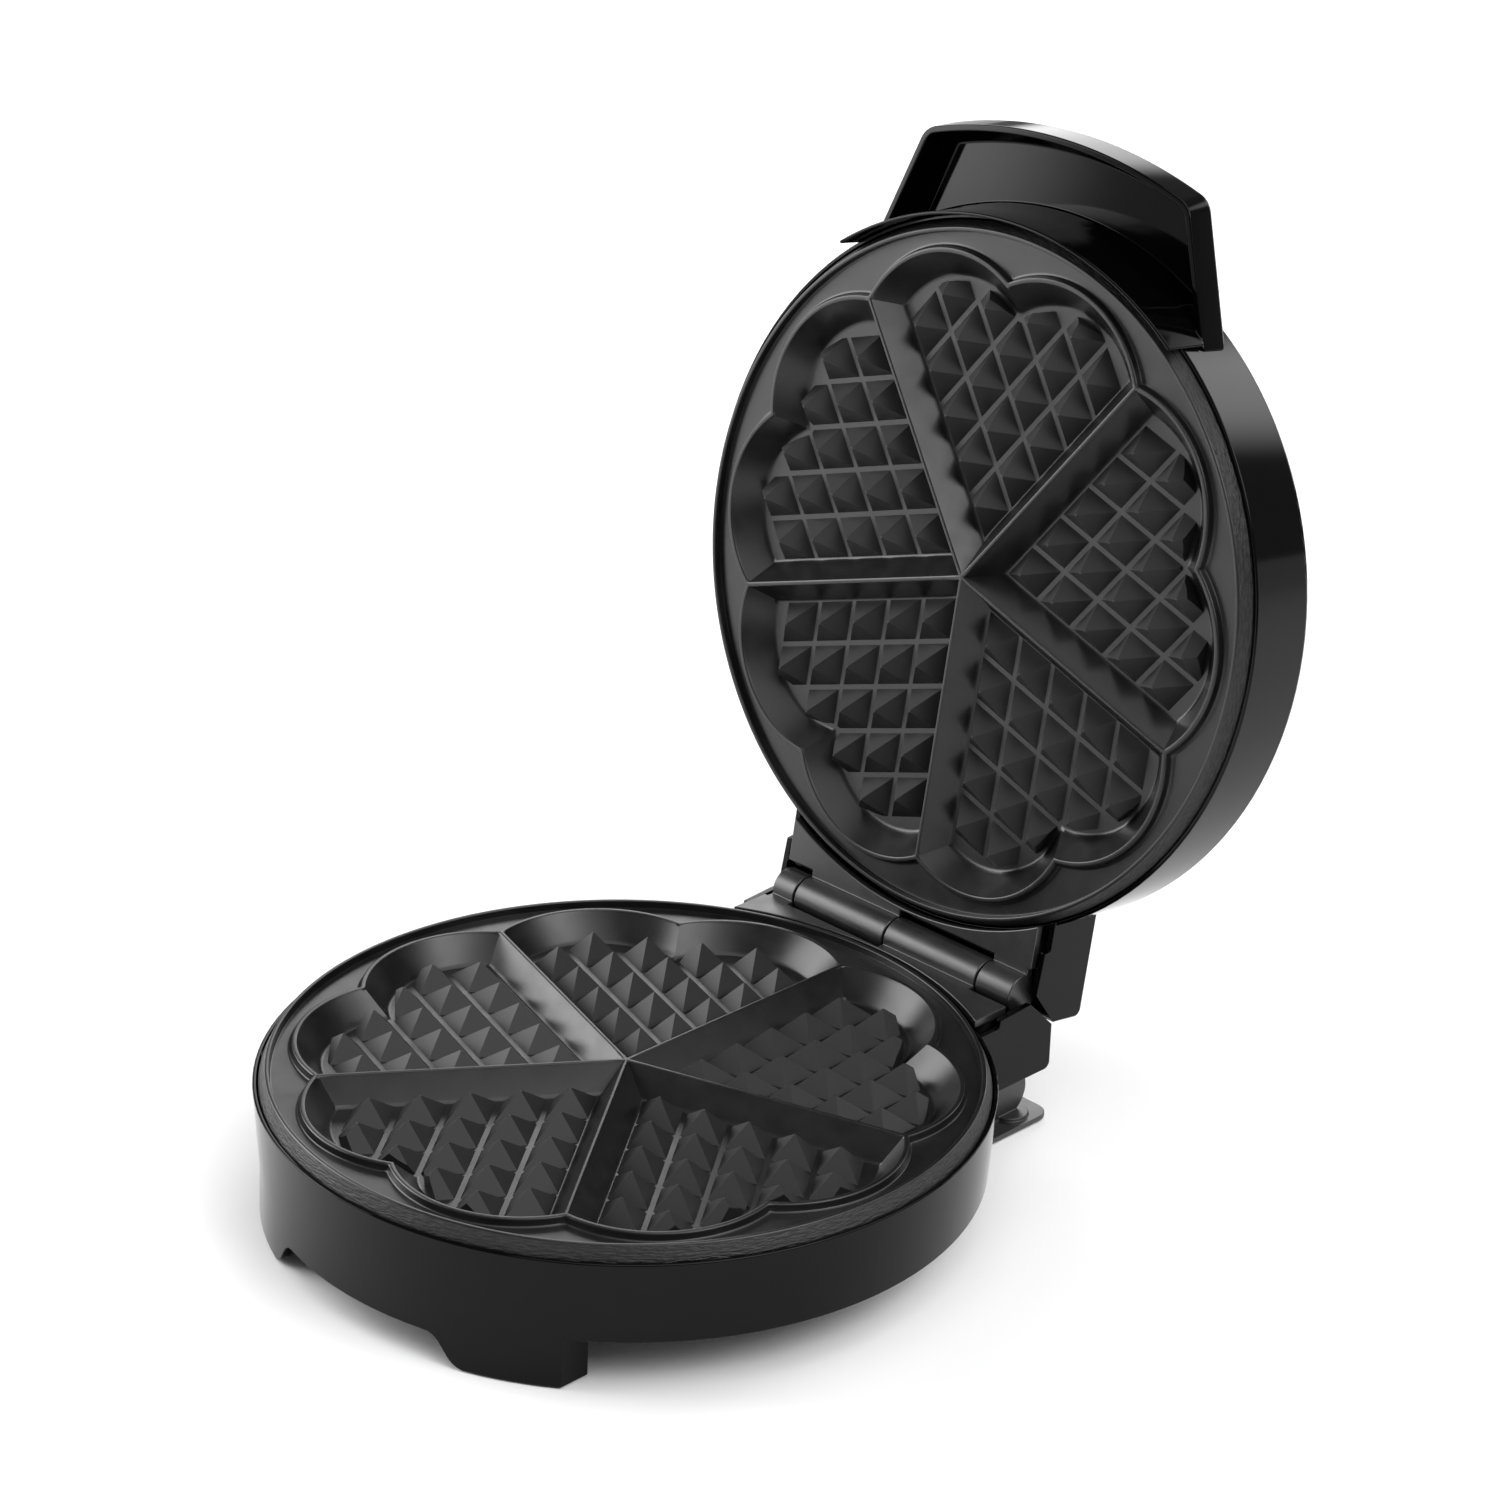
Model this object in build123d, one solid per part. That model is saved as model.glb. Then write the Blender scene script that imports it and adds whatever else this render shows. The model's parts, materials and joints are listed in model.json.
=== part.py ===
"""Round waffle maker for five heart-shaped waffles, with its lid hinged at the back and held open.

The origin is on the table, under the centre of the lower cooking plate. +Z is up, the hinge is towards
+Y and the handle of the closed lid towards -Y. Every piece is modelled about the rim plane, where the
closed plates meet, with the lid closed. Lid pieces are then turned open about the hinge, and
everything is lifted by RIM_HEIGHT at the end.
"""
from build123d import *
from math import asin, atan2, cos, degrees, pi, radians, sin, sqrt
import os

# Cooking plate: five hearts round the centre, their ribs at 18, 90, 162, 234 and 306 degrees
HEARTS = 5
HEART_PITCH = 360 / HEARTS
HALF_HEART = HEART_PITCH / 2
FIRST_HEART = -90.0
LOBE_CENTRE_R = 58.55     # centres of the round lobes, two to each heart
LOBE_R = 34.45            # radius of a lobe at the top of the pocket
RIB_TOP_HALF = 0.65       # half the flat top of a rib
EDGE_BREAK = 0.35         # bevel along ribs and beads
POCKET_DEPTH = 7.9
POCKET_LOBE_INSET = 6.4   # the pocket wall leans in by this much at the lobes
POCKET_RIB_INSET = 5.2    # and by this much beside a rib
PLATE_WALL = 2.6          # metal under and round the pockets
BEAD_WIDTH = 1.5          # raised bead round the hearts
PLATE_R = 100.1           # outer edge of the thin upstanding rim
RIM_WIDTH = 1.3
RIM_DRAFT = 0.2
BEAD_DRAFT = 0.5
FLANGE_DROP = 2.3         # flat flange below the rim's edge
FLANGE_T = 2.5
SKIRT_R = PLATE_R + 1.8   # the rim's outside flares to this as-cast skirt
SKIRT_FLARE_DEPTH = 4.0
SKIRT_DEPTH = 6.3
SKIRT_T = 1.7

# Pyramids on the floor of each pocket, in rhombic cells in line with the heart's two ribs
CELL = 13.85
CELL_ROWS = 5
PYRAMID_HEIGHT = 6.5
PYRAMID_TOP = 0.5         # width of the blunt tip
VALLEY = 1.5              # flat valley between two pyramids
PYRAMID_EDGE_GAP = 2.0    # pyramids stop this far inside the pocket's lobes
SMALLEST_PYRAMID = 0.06   # cut pyramids with a smaller share of a whole one are left out

# Housings
WALL_R = SKIRT_R + 1.7    # outside of the wall at its edge
WALL_EDGE = 4.2           # the wall's edge stays this far from the rim plane
WALL_T = 2.0
WALL_EDGE_BREAK = 0.3
BASE_DRAFT = 0.065        # the wall narrows by this much for each millimetre
LID_DRAFT = 0.036
SKIRT_CLEARANCE = 0.5
REBATE_DEPTH = 3.4        # thinned part of the wall that clears the plate's skirt
REBATE_SLOPE = 1.6
BASE_WALL_DEPTH = 28.5
LID_WALL_HEIGHT = 26.0
LID_SHOULDER_R = 5.0
COVER_LEDGE_T = 2.0
COVER_LEDGE_WIDTH = 3.3
COVER_T = 2.2
COVER_RISE = 5.0
COVER_GAP = 0.4
HOOK_ANGLES = (40, 140, 220, 320)
HOOK_WIDTH = 8.0
HOOK_T = 1.7
HOOK_PLAY = 0.2

# Hinge
PLATE_GAP = 0.4           # between the two rims when closed
HINGE_Y = WALL_R + 7.9
HINGE_DROP = 0.5          # the hinge axis lies this far below the rim plane
LID_OPEN = 99.0
KNUCKLE_R = 6.0
KNUCKLE_EDGES = (-47.7, -39.0, -2.3, 34.5, 47.7)
KNUCKLE_GAP = 0.6
KNUCKLE_CLEARANCE = 2.0   # from a knuckle to the other half's deck
PIN_R = 2.0
PIN_CLEARANCE = 0.05
BLIND_END = 2.2           # closed end of the right knuckle

# Hinge blocks, measured from the hinge plane
BLOCK_HALF = 52.0
BLOCK_WALL = 2.0
BLOCK_FRONT_EDGE = 4.3
BLOCK_STEP_Y = HINGE_Y - 14.3
BLOCK_STEP_RUN = 0.6
BLOCK_STEP_EDGE = 2.0
BLOCK_TOP_EDGE = 1.2
CHAMFER_Y = HINGE_Y - 0.9
CHAMFER_END = 11.0
BLOCK_REAR_Y = HINGE_Y + 9.0
LOWER_BLOCK_DEPTH = 25.2
UPPER_BLOCK_DEPTH = 22.8
BLOCK_CORNER_R = 2.2
GROOVE_CLEARANCE = 1.0    # round the knuckles
BLOCK_REACH = 34.0        # the block is drawn this far inside the wall before the wall cuts it
DECK_HALF = 48.8
DECK_DROP = 0.5
DECK_T = 2.5
DECK_CLEARANCE = 0.7      # to the plate's skirt
DECK_SEAT_GAP = 0.3
DECK_POST = (44.0, HINGE_Y - 13.0)
DECK_POST_R = 3.5
DECK_POST_END = 14.0
DECK_SCREW_FLOOR = 4.0
DECK_SCREW_GRIP = 6.0
DECK_SCREW_HOLE = 8.0
LEAD_HOLE_R = 4.0

# Front feet and apron under the wall
FOOT_DEPTH = 43.0
FOOT_T = 7.2
FOOT_OUT = 0.3            # the feet lean out by this much below the wall
FOOT_SIDE_X = 62.0
FOOT_INNER_X = 38.8
APRON_X = 27.1
APRON_DEPTH = 34.0
FOOT_ZONE_START = 4.0     # the thick foot starts this far outside the apron
FRONT_PAD_R = 2.8
FRONT_PAD_X = (44.5, 56.0)
PAD_PROUD = 0.5
PAD_RECESS = 1.5

# Pan under the base
PAN_GAP = 0.4
PAN_T = 2.0
PAN_LIP = 1.6
PAN_BULGE_R = WALL_R - 17.6
PAN_BULGE = 3.0
PAN_CENTRE_DROP = 1.0
PAN_SCREW_R = WALL_R - 13.6
PAN_SCREW_ANGLES = (32, 148, 258, 282)
PAN_BOSS_DROP = 0.4
PAN_BOSS_WALL = 1.6
PAN_SCREW_LENGTH = 9.0
PAN_POST_R = 4.2
PAN_POST_TOP = 15.0

# Cord wrap: rounded neck and flat flange, which is also the rear foot
NECK_HALF = 45.0
NECK_R = 8.0
NECK_REAR_Y = HINGE_Y + 7.3
NECK_FRONT_Y = HINGE_Y - 8.5
NECK_WALL = 2.4
WRAP_HALF = 51.5
WRAP_REAR_Y = HINGE_Y + 11.9
WRAP_FRONT_Y = HINGE_Y - 23.5
WRAP_CORNER_R = 5.0
WRAP_SCREW = (34.0, HINGE_Y - 0.5)
WRAP_SCREW_GRIP = 7.0
WRAP_SCREW_FLOOR = 5.0
REAR_PAD_R = 4.5
REAR_PAD = (44.0, HINGE_Y + 1.5)

# Front handle
HANDLE_RIM_Z = 12.0       # lower edge of the scoop
HANDLE_CEILING_Z = 21.6
HANDLE_SIDE_Z = 21.2
HANDLE_TOP_Z = 24.4
HANDLE_FRONT = WALL_R + 24.2
HANDLE_FRONT_LEAN = 1.4
HANDLE_FRONT_R = 155.0
HANDLE_BASE_X = 62.8      # half width where the sides meet the lid wall
HANDLE_BASE_Y = WALL_R - 21.6
HANDLE_TIP_X = 50.2
HANDLE_TIP_Y = WALL_R + 13.7
HANDLE_ROOT_Y = -60.0      # the sides are drawn back to here before the lid wall cuts them
HANDLE_CORNER_R = 7.0
HANDLE_WALL = 2.0
COLLAR_HALF_ANGLE = 36.7
COLLAR_LIP = 3.0          # the lip reaches this far below the rim plane
COLLAR_LIP_T = 1.0
COLLAR_MID_T = 1.7
COLLAR_TOP_T = 3.2
ROOT_HALF_ANGLE = 30.0
ROOT_RUN = 9.0
ROOT_RISE = 2.4
HANDLE_SCREW_ANGLES = (256, 284)

# Screws: shank radius, head radius, head height
SCREW_R = 1.5
SCREW_HEAD_R = 2.8
SCREW_HEAD_T = 2.0
SCREW_PLAY = 0.2
THREAD_PLAY = 0.05
PLATE_SCREW_ANGLES = (54, 162, 270)
PLATE_SCREW_R = PLATE_R - 7.1
PLATE_BOSS_R = 4.0
PLATE_BOSS_DEPTH = 10.0
LUG_R = 4.5
LUG_T = 5.8
LUG_GAP = 0.2
LUG_RIB = 3.0

# Heater, reflector and electrical parts
ELEMENT_R = 60.0
ELEMENT_TUBE_R = 3.25
ELEMENT_GAP_HALF = 7.0
ELEMENT_END_R = PLATE_R - 16.1
TERMINAL_R = 2.3
TERMINAL_SLEEVE = 6.0
TERMINAL_PIN_R = 1.0
TERMINAL_END_R = ELEMENT_END_R + 11.0
CLAMP_ANGLES = (18, 162, 270)
CLAMP_T = 0.9
CLAMP_WIDTH = 8.0
CLAMP_FOOT = 7.0
CLAMP_PLAY = 0.2          # the tube is bent and the strap is straight
REFLECTOR_R = PLATE_R - 16.1
REFLECTOR_GAP = 2.2
REFLECTOR_T = 0.6
REFLECTOR_LIP = 2.4
REFLECTOR_HOLE_R = 14.0
REFLECTOR_LEG_R = 2.0
REFLECTOR_LEG_PLACE = 74.0
THERMOSTAT_R = 8.5
THERMOSTAT_T = 7.6
THERMOSTAT_TAB = (26.0, 7.0, 0.8)
THERMOSTAT_BLADE = (4.0, 6.0, 0.8, 4.5)
FUSE_R = 2.2
FUSE_LENGTH = 16.0
FUSE_Y = 34.0
FUSE_CLIP_T = 0.6
FUSE_CLIP_WIDTH = 5.0
TERMINAL_BLOCK = (36.0, 9.0, 9.0)
TERMINAL_BLOCK_GAP = 3.5
TERMINAL_WAYS = 3
WAY_RECESS = 1.5
WAY_RECESS_R = 2.2
WAY_SCREW_R = 1.7
WAY_SHANK_R = 1.0
INLET_X = -24.0
INLET_DEPTH = 17.6
INLET_BORE_R = 3.1
INLET_SLEEVE_R = 4.3
INLET_FLANGE_R = 5.6
INLET_FLANGE_T = 1.8
INLET_LENGTH = 4.4
LENS_R = 2.6
LENS_FLANGE_R = 3.6
LENS_PROUD = 1.0
LENS_STUB = 1.5
LENS_FLANGE_GAP = 0.4
LENS_X = 8.0
LENS_Y = 66.0
LAMP_BOARD = (34.0, 14.0, 1.5)
LAMP_R = 2.0
LAMP_GAP = 0.3
LAMP_POST_R = 1.8
LAMP_POST_HEIGHT = 2.4
LEAD_R = 1.2
LEAD_BEND_R = 3.6
LEAD_STRAIGHT = 2.5
LEAD_ENTRY = 2.0

PAD_STAND = FOOT_DEPTH + PAD_PROUD
RIM_HEIGHT = PAD_STAND
FLOWER_DEPTH = POCKET_DEPTH + PLATE_WALL
ELEMENT_DEPTH = FLOWER_DEPTH + ELEMENT_TUBE_R
REFLECTOR_DEPTH = FLOWER_DEPTH + 2 * ELEMENT_TUBE_R + REFLECTOR_GAP
GROOVE_R = KNUCKLE_R + GROOVE_CLEARANCE
REBATE_R = SKIRT_R + SKIRT_CLEARANCE
HINGE = Axis((0, HINGE_Y, -HINGE_DROP), (1, 0, 0))
BOTTOM = (Align.CENTER, Align.CENTER, Align.MIN)


def polar(radius, angle):
    return radius * cos(radians(angle)), radius * sin(radians(angle))


def rod(radius, low, high, x=0.0, y=0.0):
    """Upright cylinder between two heights."""
    return Pos(x, y, low) * Cylinder(radius, high - low, align=BOTTOM)


def rod_x(radius, left, right, y, z):
    """Cylinder along X between two ends."""
    return Pos(left, y, z) * Rot(0, 90, 0) * Cylinder(radius, right - left, align=BOTTOM)


def rod_out(radius, near, far, angle, z):
    """Cylinder along the spoke at an angle, between two radii."""
    spoke = Rot(0, 90, 0) * Cylinder(radius, far - near, align=BOTTOM)
    return Rot(0, 0, angle) * Pos(near, 0, z) * spoke


def slab(x0, x1, y0, y1, z0, z1):
    """Box between two corners."""
    return Pos(x0, y0, z0) * Box(x1 - x0, y1 - y0, z1 - z0, align=(Align.MIN, Align.MIN, Align.MIN))


def turned(points, arc=360.0, start=0.0):
    """Ring with an outline of (radius, height) points, or a sector of it from an angle."""
    outline = Plane.XZ * Polygon(*points, align=None)
    return Rot(0, 0, start) * revolve(outline, Axis.Z, arc)


def side_prism(points, half_width, corner=None, corner_r=0.0):
    """Side view of (y, z) points, as wide as half_width to each side of the middle."""
    outline = Polygon(*points, align=None)
    if corner is not None:
        picked = outline.vertices().sort_by_distance(Vector(*corner, 0))[0]
        outline = fillet(picked, corner_r)
    return extrude(Plane.YZ * outline, half_width, both=True)


def mirrored(piece, plane_height=0.0):
    """The same piece facing the other way across a level plane."""
    return mirror(piece, about=Plane.XY.offset(plane_height))


def along_spokes(piece, angles):
    return [Rot(0, 0, angle) * piece for angle in angles]


def screw(length):
    """Pan-head screw: its head rests on z = 0 from below, and its shank points up."""
    head = rod(SCREW_HEAD_R, -SCREW_HEAD_T, 0)
    head = fillet(head.edges().sort_by(Axis.Z)[0], SCREW_HEAD_T * 0.4)
    slot = Box(SCREW_HEAD_R * 1.2, SCREW_HEAD_T * 0.35, SCREW_HEAD_T, align=BOTTOM)
    cross = slot + Rot(0, 0, 90) * slot
    return head + rod(SCREW_R, 0, length) - Pos(0, 0, -SCREW_HEAD_T * 1.5) * cross


# Cooking plates

def lobe_meeting_r(lobe_r, offset=0.0):
    """How far along a rib, or along the line of notches, a lobe's circle meets the line offset from it."""
    across = LOBE_CENTRE_R * sin(radians(HALF_HEART / 2)) - offset
    return LOBE_CENTRE_R * cos(radians(HALF_HEART / 2)) + sqrt(lobe_r**2 - across**2)


def flower_face(lobe_r, height):
    """Outline round all the hearts: ten lobes, and a cusp between each two."""
    cusp_r = lobe_meeting_r(lobe_r)
    edges = []
    for step in range(2 * HEARTS):
        start = FIRST_HEART + step * HALF_HEART
        mid = start + HALF_HEART / 2
        end = start + HALF_HEART
        edges.append(
            ThreePointArc(
                polar(cusp_r, start), polar(LOBE_CENTRE_R + lobe_r, mid), polar(cusp_r, end)
            )
        )
    return Pos(0, 0, height) * make_face(edges)


def heart_face(lobe_inset, rib_offset, height):
    """One heart's pocket at a height, with its axis along +X: two straight sides and two lobes."""
    lobe_r = LOBE_R - lobe_inset
    along = lobe_meeting_r(lobe_r, rib_offset)
    rib_end_r = sqrt(along**2 + rib_offset**2)
    rib_end_angle = HALF_HEART - degrees(atan2(rib_offset, along))
    tip = (rib_offset / sin(radians(HALF_HEART)), 0)
    notch = (lobe_meeting_r(lobe_r), 0)
    right_end = polar(rib_end_r, -rib_end_angle)
    left_end = polar(rib_end_r, rib_end_angle)
    right_crown = polar(LOBE_CENTRE_R + lobe_r, -HALF_HEART / 2)
    left_crown = polar(LOBE_CENTRE_R + lobe_r, HALF_HEART / 2)
    edges = [
        Line(tip, right_end),
        ThreePointArc(right_end, right_crown, notch),
        ThreePointArc(notch, left_crown, left_end),
        Line(left_end, tip),
    ]
    return Pos(0, 0, height) * make_face(edges)


def heart_pocket():
    """Space of one pocket: a narrow bevel at the top and leaning walls down to the flat floor."""
    mouth = heart_face(-EDGE_BREAK, RIB_TOP_HALF - EDGE_BREAK, 0)
    shoulder = heart_face(0, RIB_TOP_HALF, -EDGE_BREAK)
    floor = heart_face(POCKET_LOBE_INSET, RIB_TOP_HALF + POCKET_RIB_INSET, -POCKET_DEPTH)
    return loft([mouth, shoulder, floor], ruled=True)


def rhombus_face(side, height):
    """Rhombus about the origin with its acute corners along X, its sides in line with the ribs."""
    long_half = side * cos(radians(HALF_HEART))
    short_half = side * sin(radians(HALF_HEART))
    corners = [(-long_half, 0), (0, -short_half), (long_half, 0), (0, short_half)]
    return Pos(0, 0, height) * Polygon(*corners, align=None)


def heart_pyramids():
    """Pyramids of one pocket, cut where they reach the lobes."""
    side_per_width = 1 / sin(radians(HEART_PITCH))
    foot_side = CELL - VALLEY * side_per_width
    tip_side = PYRAMID_TOP * side_per_width
    sunk = PLATE_WALL / 4
    spread = (foot_side - tip_side) / PYRAMID_HEIGHT * sunk
    whole = loft(
        [rhombus_face(foot_side + spread, -sunk), rhombus_face(tip_side, PYRAMID_HEIGHT)], ruled=True
    )
    above_floor = loft([rhombus_face(foot_side, 0), rhombus_face(tip_side, PYRAMID_HEIGHT)], ruled=True)
    inside = extrude(
        heart_face(
            POCKET_LOBE_INSET + PYRAMID_EDGE_GAP, RIB_TOP_HALF + POCKET_RIB_INSET, -POCKET_DEPTH - sunk
        ),
        PYRAMID_HEIGHT + sunk,
    )
    corner_x = (RIB_TOP_HALF + POCKET_RIB_INSET) / sin(radians(HALF_HEART))
    pyramids = []
    for row in range(CELL_ROWS):
        for column in range(CELL_ROWS):
            x = corner_x + CELL * (row + column + 1) * cos(radians(HALF_HEART))
            y = CELL * (column - row) * sin(radians(HALF_HEART))
            cut = (Pos(x, y, -POCKET_DEPTH) * whole) & inside
            if cut is None or not cut.solids():
                continue
            if cut.volume > SMALLEST_PYRAMID * whole.volume:
                pyramids.append(cut.solids()[0])
    return pyramids


def cooking_plate():
    """Cast plate in its lower position, its rim in the plane z = 0."""
    flange_low = -FLANGE_DROP - FLANGE_T
    rim_in = PLATE_R - RIM_WIDTH
    disc = turned(
        [
            (0, flange_low),
            (0, -FLANGE_DROP),
            (rim_in - RIM_DRAFT, -FLANGE_DROP),
            (rim_in, 0),
            (PLATE_R, 0),
            (SKIRT_R, -SKIRT_FLARE_DEPTH),
            (SKIRT_R, -SKIRT_DEPTH),
            (SKIRT_R - SKIRT_T, -SKIRT_DEPTH),
            (SKIRT_R - SKIRT_T, flange_low),
        ]
    )
    bead = loft(
        [
            flower_face(LOBE_R + BEAD_WIDTH, 0),
            flower_face(LOBE_R + BEAD_WIDTH + BEAD_DRAFT, -FLANGE_DROP - BEAD_DRAFT),
        ],
        ruled=True,
    )
    body_top = -FLANGE_DROP - FLANGE_T / 2
    floor_lobe = LOBE_R - POCKET_LOBE_INSET + PLATE_WALL
    body = loft(
        [flower_face(LOBE_R + BEAD_WIDTH, body_top), flower_face(floor_lobe, -FLOWER_DEPTH)], ruled=True
    )
    plate = disc + bead + body
    for angle in PLATE_SCREW_ANGLES:
        x, y = polar(PLATE_SCREW_R, angle)
        plate += rod(PLATE_BOSS_R, -PLATE_BOSS_DEPTH, flange_low + 0.1, x, y)
        plate -= rod(SCREW_R + THREAD_PLAY, -PLATE_BOSS_DEPTH, flange_low + 1.0, x, y)
    pocket = heart_pocket()
    pyramids = heart_pyramids()
    spokes = [FIRST_HEART + HEART_PITCH * heart for heart in range(HEARTS)]
    plate = plate - along_spokes(pocket, spokes)
    for angle in spokes:
        plate = plate + [Rot(0, 0, angle) * pyramid for pyramid in pyramids]
    return plate


# Heater and reflector behind a plate, in the lower position

def heating_element():
    """Tubular heater bent to a ring, its two cold ends led out towards the hinge."""
    first = 90 + ELEMENT_GAP_HALF
    ring = Rot(0, 0, first) * revolve(
        Plane.XZ * Pos(ELEMENT_R, -ELEMENT_DEPTH) * Circle(ELEMENT_TUBE_R),
        Axis.Z,
        360 - 2 * ELEMENT_GAP_HALF,
    )
    for angle in (first, 90 - ELEMENT_GAP_HALF):
        x, y = polar(ELEMENT_R, angle)
        ring += rod_out(ELEMENT_TUBE_R, ELEMENT_R, ELEMENT_END_R, angle, -ELEMENT_DEPTH)
        ring += Pos(x, y, -ELEMENT_DEPTH) * Sphere(ELEMENT_TUBE_R)
    return ring


def heater_terminals():
    """Ceramic sleeves with their contact pins, one on each end of the heater."""
    pieces = []
    for angle in (90 + ELEMENT_GAP_HALF, 90 - ELEMENT_GAP_HALF):
        sleeve_end = ELEMENT_END_R + TERMINAL_SLEEVE
        sleeve = rod_out(TERMINAL_R, ELEMENT_END_R, sleeve_end, angle, -ELEMENT_DEPTH)
        pin = rod_out(TERMINAL_PIN_R, sleeve_end - 1, TERMINAL_END_R, angle, -ELEMENT_DEPTH)
        pieces.append(sleeve + pin)
    return pieces


def element_clamps():
    """Sheet straps that hold the heater against the plate."""
    outer = ELEMENT_TUBE_R + CLAMP_T
    top = -FLOWER_DEPTH
    saddle = Plane.XZ * Pos(ELEMENT_R, -ELEMENT_DEPTH) * Circle(outer)
    saddle -= Plane.XZ * Pos(ELEMENT_R, -ELEMENT_DEPTH) * Circle(ELEMENT_TUBE_R + CLAMP_PLAY)
    ring = extrude(saddle, CLAMP_WIDTH / 2, both=True)
    ring += slab(
        ELEMENT_R - outer - CLAMP_FOOT, ELEMENT_R - ELEMENT_TUBE_R - CLAMP_PLAY,
        -CLAMP_WIDTH / 2, CLAMP_WIDTH / 2, top - CLAMP_T, top,
    )
    ring += slab(
        ELEMENT_R + ELEMENT_TUBE_R + CLAMP_PLAY, ELEMENT_R + outer + CLAMP_FOOT,
        -CLAMP_WIDTH / 2, CLAMP_WIDTH / 2, top - CLAMP_T, top,
    )
    bore = Plane.XZ * Pos(ELEMENT_R, -ELEMENT_DEPTH) * Circle(ELEMENT_TUBE_R + CLAMP_PLAY)
    ring -= extrude(bore, CLAMP_WIDTH, both=True)
    reach = outer + CLAMP_FOOT
    keep = slab(
        ELEMENT_R - reach, ELEMENT_R + reach, -CLAMP_WIDTH, CLAMP_WIDTH, -ELEMENT_DEPTH - outer - 1, top
    )
    ring = ring & keep
    return along_spokes(ring, CLAMP_ANGLES)


def reflector():
    """Thin sheet dish that turns the heat back to the plate, on three short legs."""
    low = -REFLECTOR_DEPTH - REFLECTOR_T
    dish = turned(
        [
            (REFLECTOR_HOLE_R, low),
            (REFLECTOR_R, low),
            (REFLECTOR_R, low + REFLECTOR_LIP),
            (REFLECTOR_R - REFLECTOR_T, low + REFLECTOR_LIP),
            (REFLECTOR_R - REFLECTOR_T, -REFLECTOR_DEPTH),
            (REFLECTOR_HOLE_R, -REFLECTOR_DEPTH),
        ]
    )
    for angle in PLATE_SCREW_ANGLES:
        x, y = polar(REFLECTOR_LEG_PLACE, angle)
        dish += rod(REFLECTOR_LEG_R, -REFLECTOR_DEPTH - REFLECTOR_T / 2, -FLOWER_DEPTH, x, y)
    return dish


def plate_screws():
    """Screws that hold a plate's bosses to the housing's lugs."""
    head_plane = -PLATE_BOSS_DEPTH - LUG_GAP - LUG_T
    length = -head_plane - FLANGE_DROP - FLANGE_T - 0.8
    one = Pos(PLATE_SCREW_R, 0, head_plane) * screw(length)
    return along_spokes(one, PLATE_SCREW_ANGLES)


# Housings

def wall_r(depth, draft):
    return WALL_R - draft * (depth - WALL_EDGE)


def wall_ring(depth, draft):
    """Drafted wall in its lower position, rebated at its edge for the plate's skirt."""
    step = WALL_EDGE + REBATE_DEPTH
    below = step + REBATE_SLOPE
    return turned(
        [
            (REBATE_R, -WALL_EDGE),
            (WALL_R - WALL_EDGE_BREAK, -WALL_EDGE),
            (wall_r(WALL_EDGE + WALL_EDGE_BREAK, draft), -WALL_EDGE - WALL_EDGE_BREAK),
            (wall_r(depth, draft), -depth),
            (wall_r(depth, draft) - WALL_T, -depth),
            (wall_r(below, draft) - WALL_T, -below),
            (REBATE_R, -step),
        ]
    )


def wall_inside(depth, draft):
    """Space inside the wall, carried on past both of its edges."""
    step = WALL_EDGE + REBATE_DEPTH
    below = step + REBATE_SLOPE
    end_r = wall_r(depth, draft) - WALL_T
    return turned(
        [
            (0, WALL_EDGE),
            (REBATE_R, WALL_EDGE),
            (REBATE_R, -step),
            (wall_r(below, draft) - WALL_T, -below),
            (end_r, -depth),
            (end_r, -2 * depth),
            (0, -2 * depth),
        ]
    )


def plate_lugs(draft):
    """Lugs on the inside of the wall that the plate's bosses are screwed to."""
    high = -PLATE_BOSS_DEPTH - LUG_GAP
    low = high - LUG_T
    wall_in = wall_r(-low, draft) - WALL_T / 2
    lug = rod(LUG_R, low, high, PLATE_SCREW_R)
    lug += slab(PLATE_SCREW_R, wall_in, -LUG_RIB / 2, LUG_RIB / 2, low, high)
    lug -= rod(SCREW_R + SCREW_PLAY, low - 1, high + 1, PLATE_SCREW_R)
    return along_spokes(lug, PLATE_SCREW_ANGLES)


def block_outline(depth):
    """Side view of a hinge block in its lower position, from inside the wall to its rear face."""
    inner_y = WALL_R - BLOCK_REACH
    return [
        (inner_y, -BLOCK_FRONT_EDGE),
        (BLOCK_STEP_Y, -BLOCK_FRONT_EDGE),
        (BLOCK_STEP_Y + BLOCK_STEP_RUN, -BLOCK_STEP_EDGE),
        (CHAMFER_Y, -BLOCK_TOP_EDGE),
        (BLOCK_REAR_Y, -CHAMFER_END),
        (BLOCK_REAR_Y, -depth),
        (inner_y, -depth),
    ]


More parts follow.
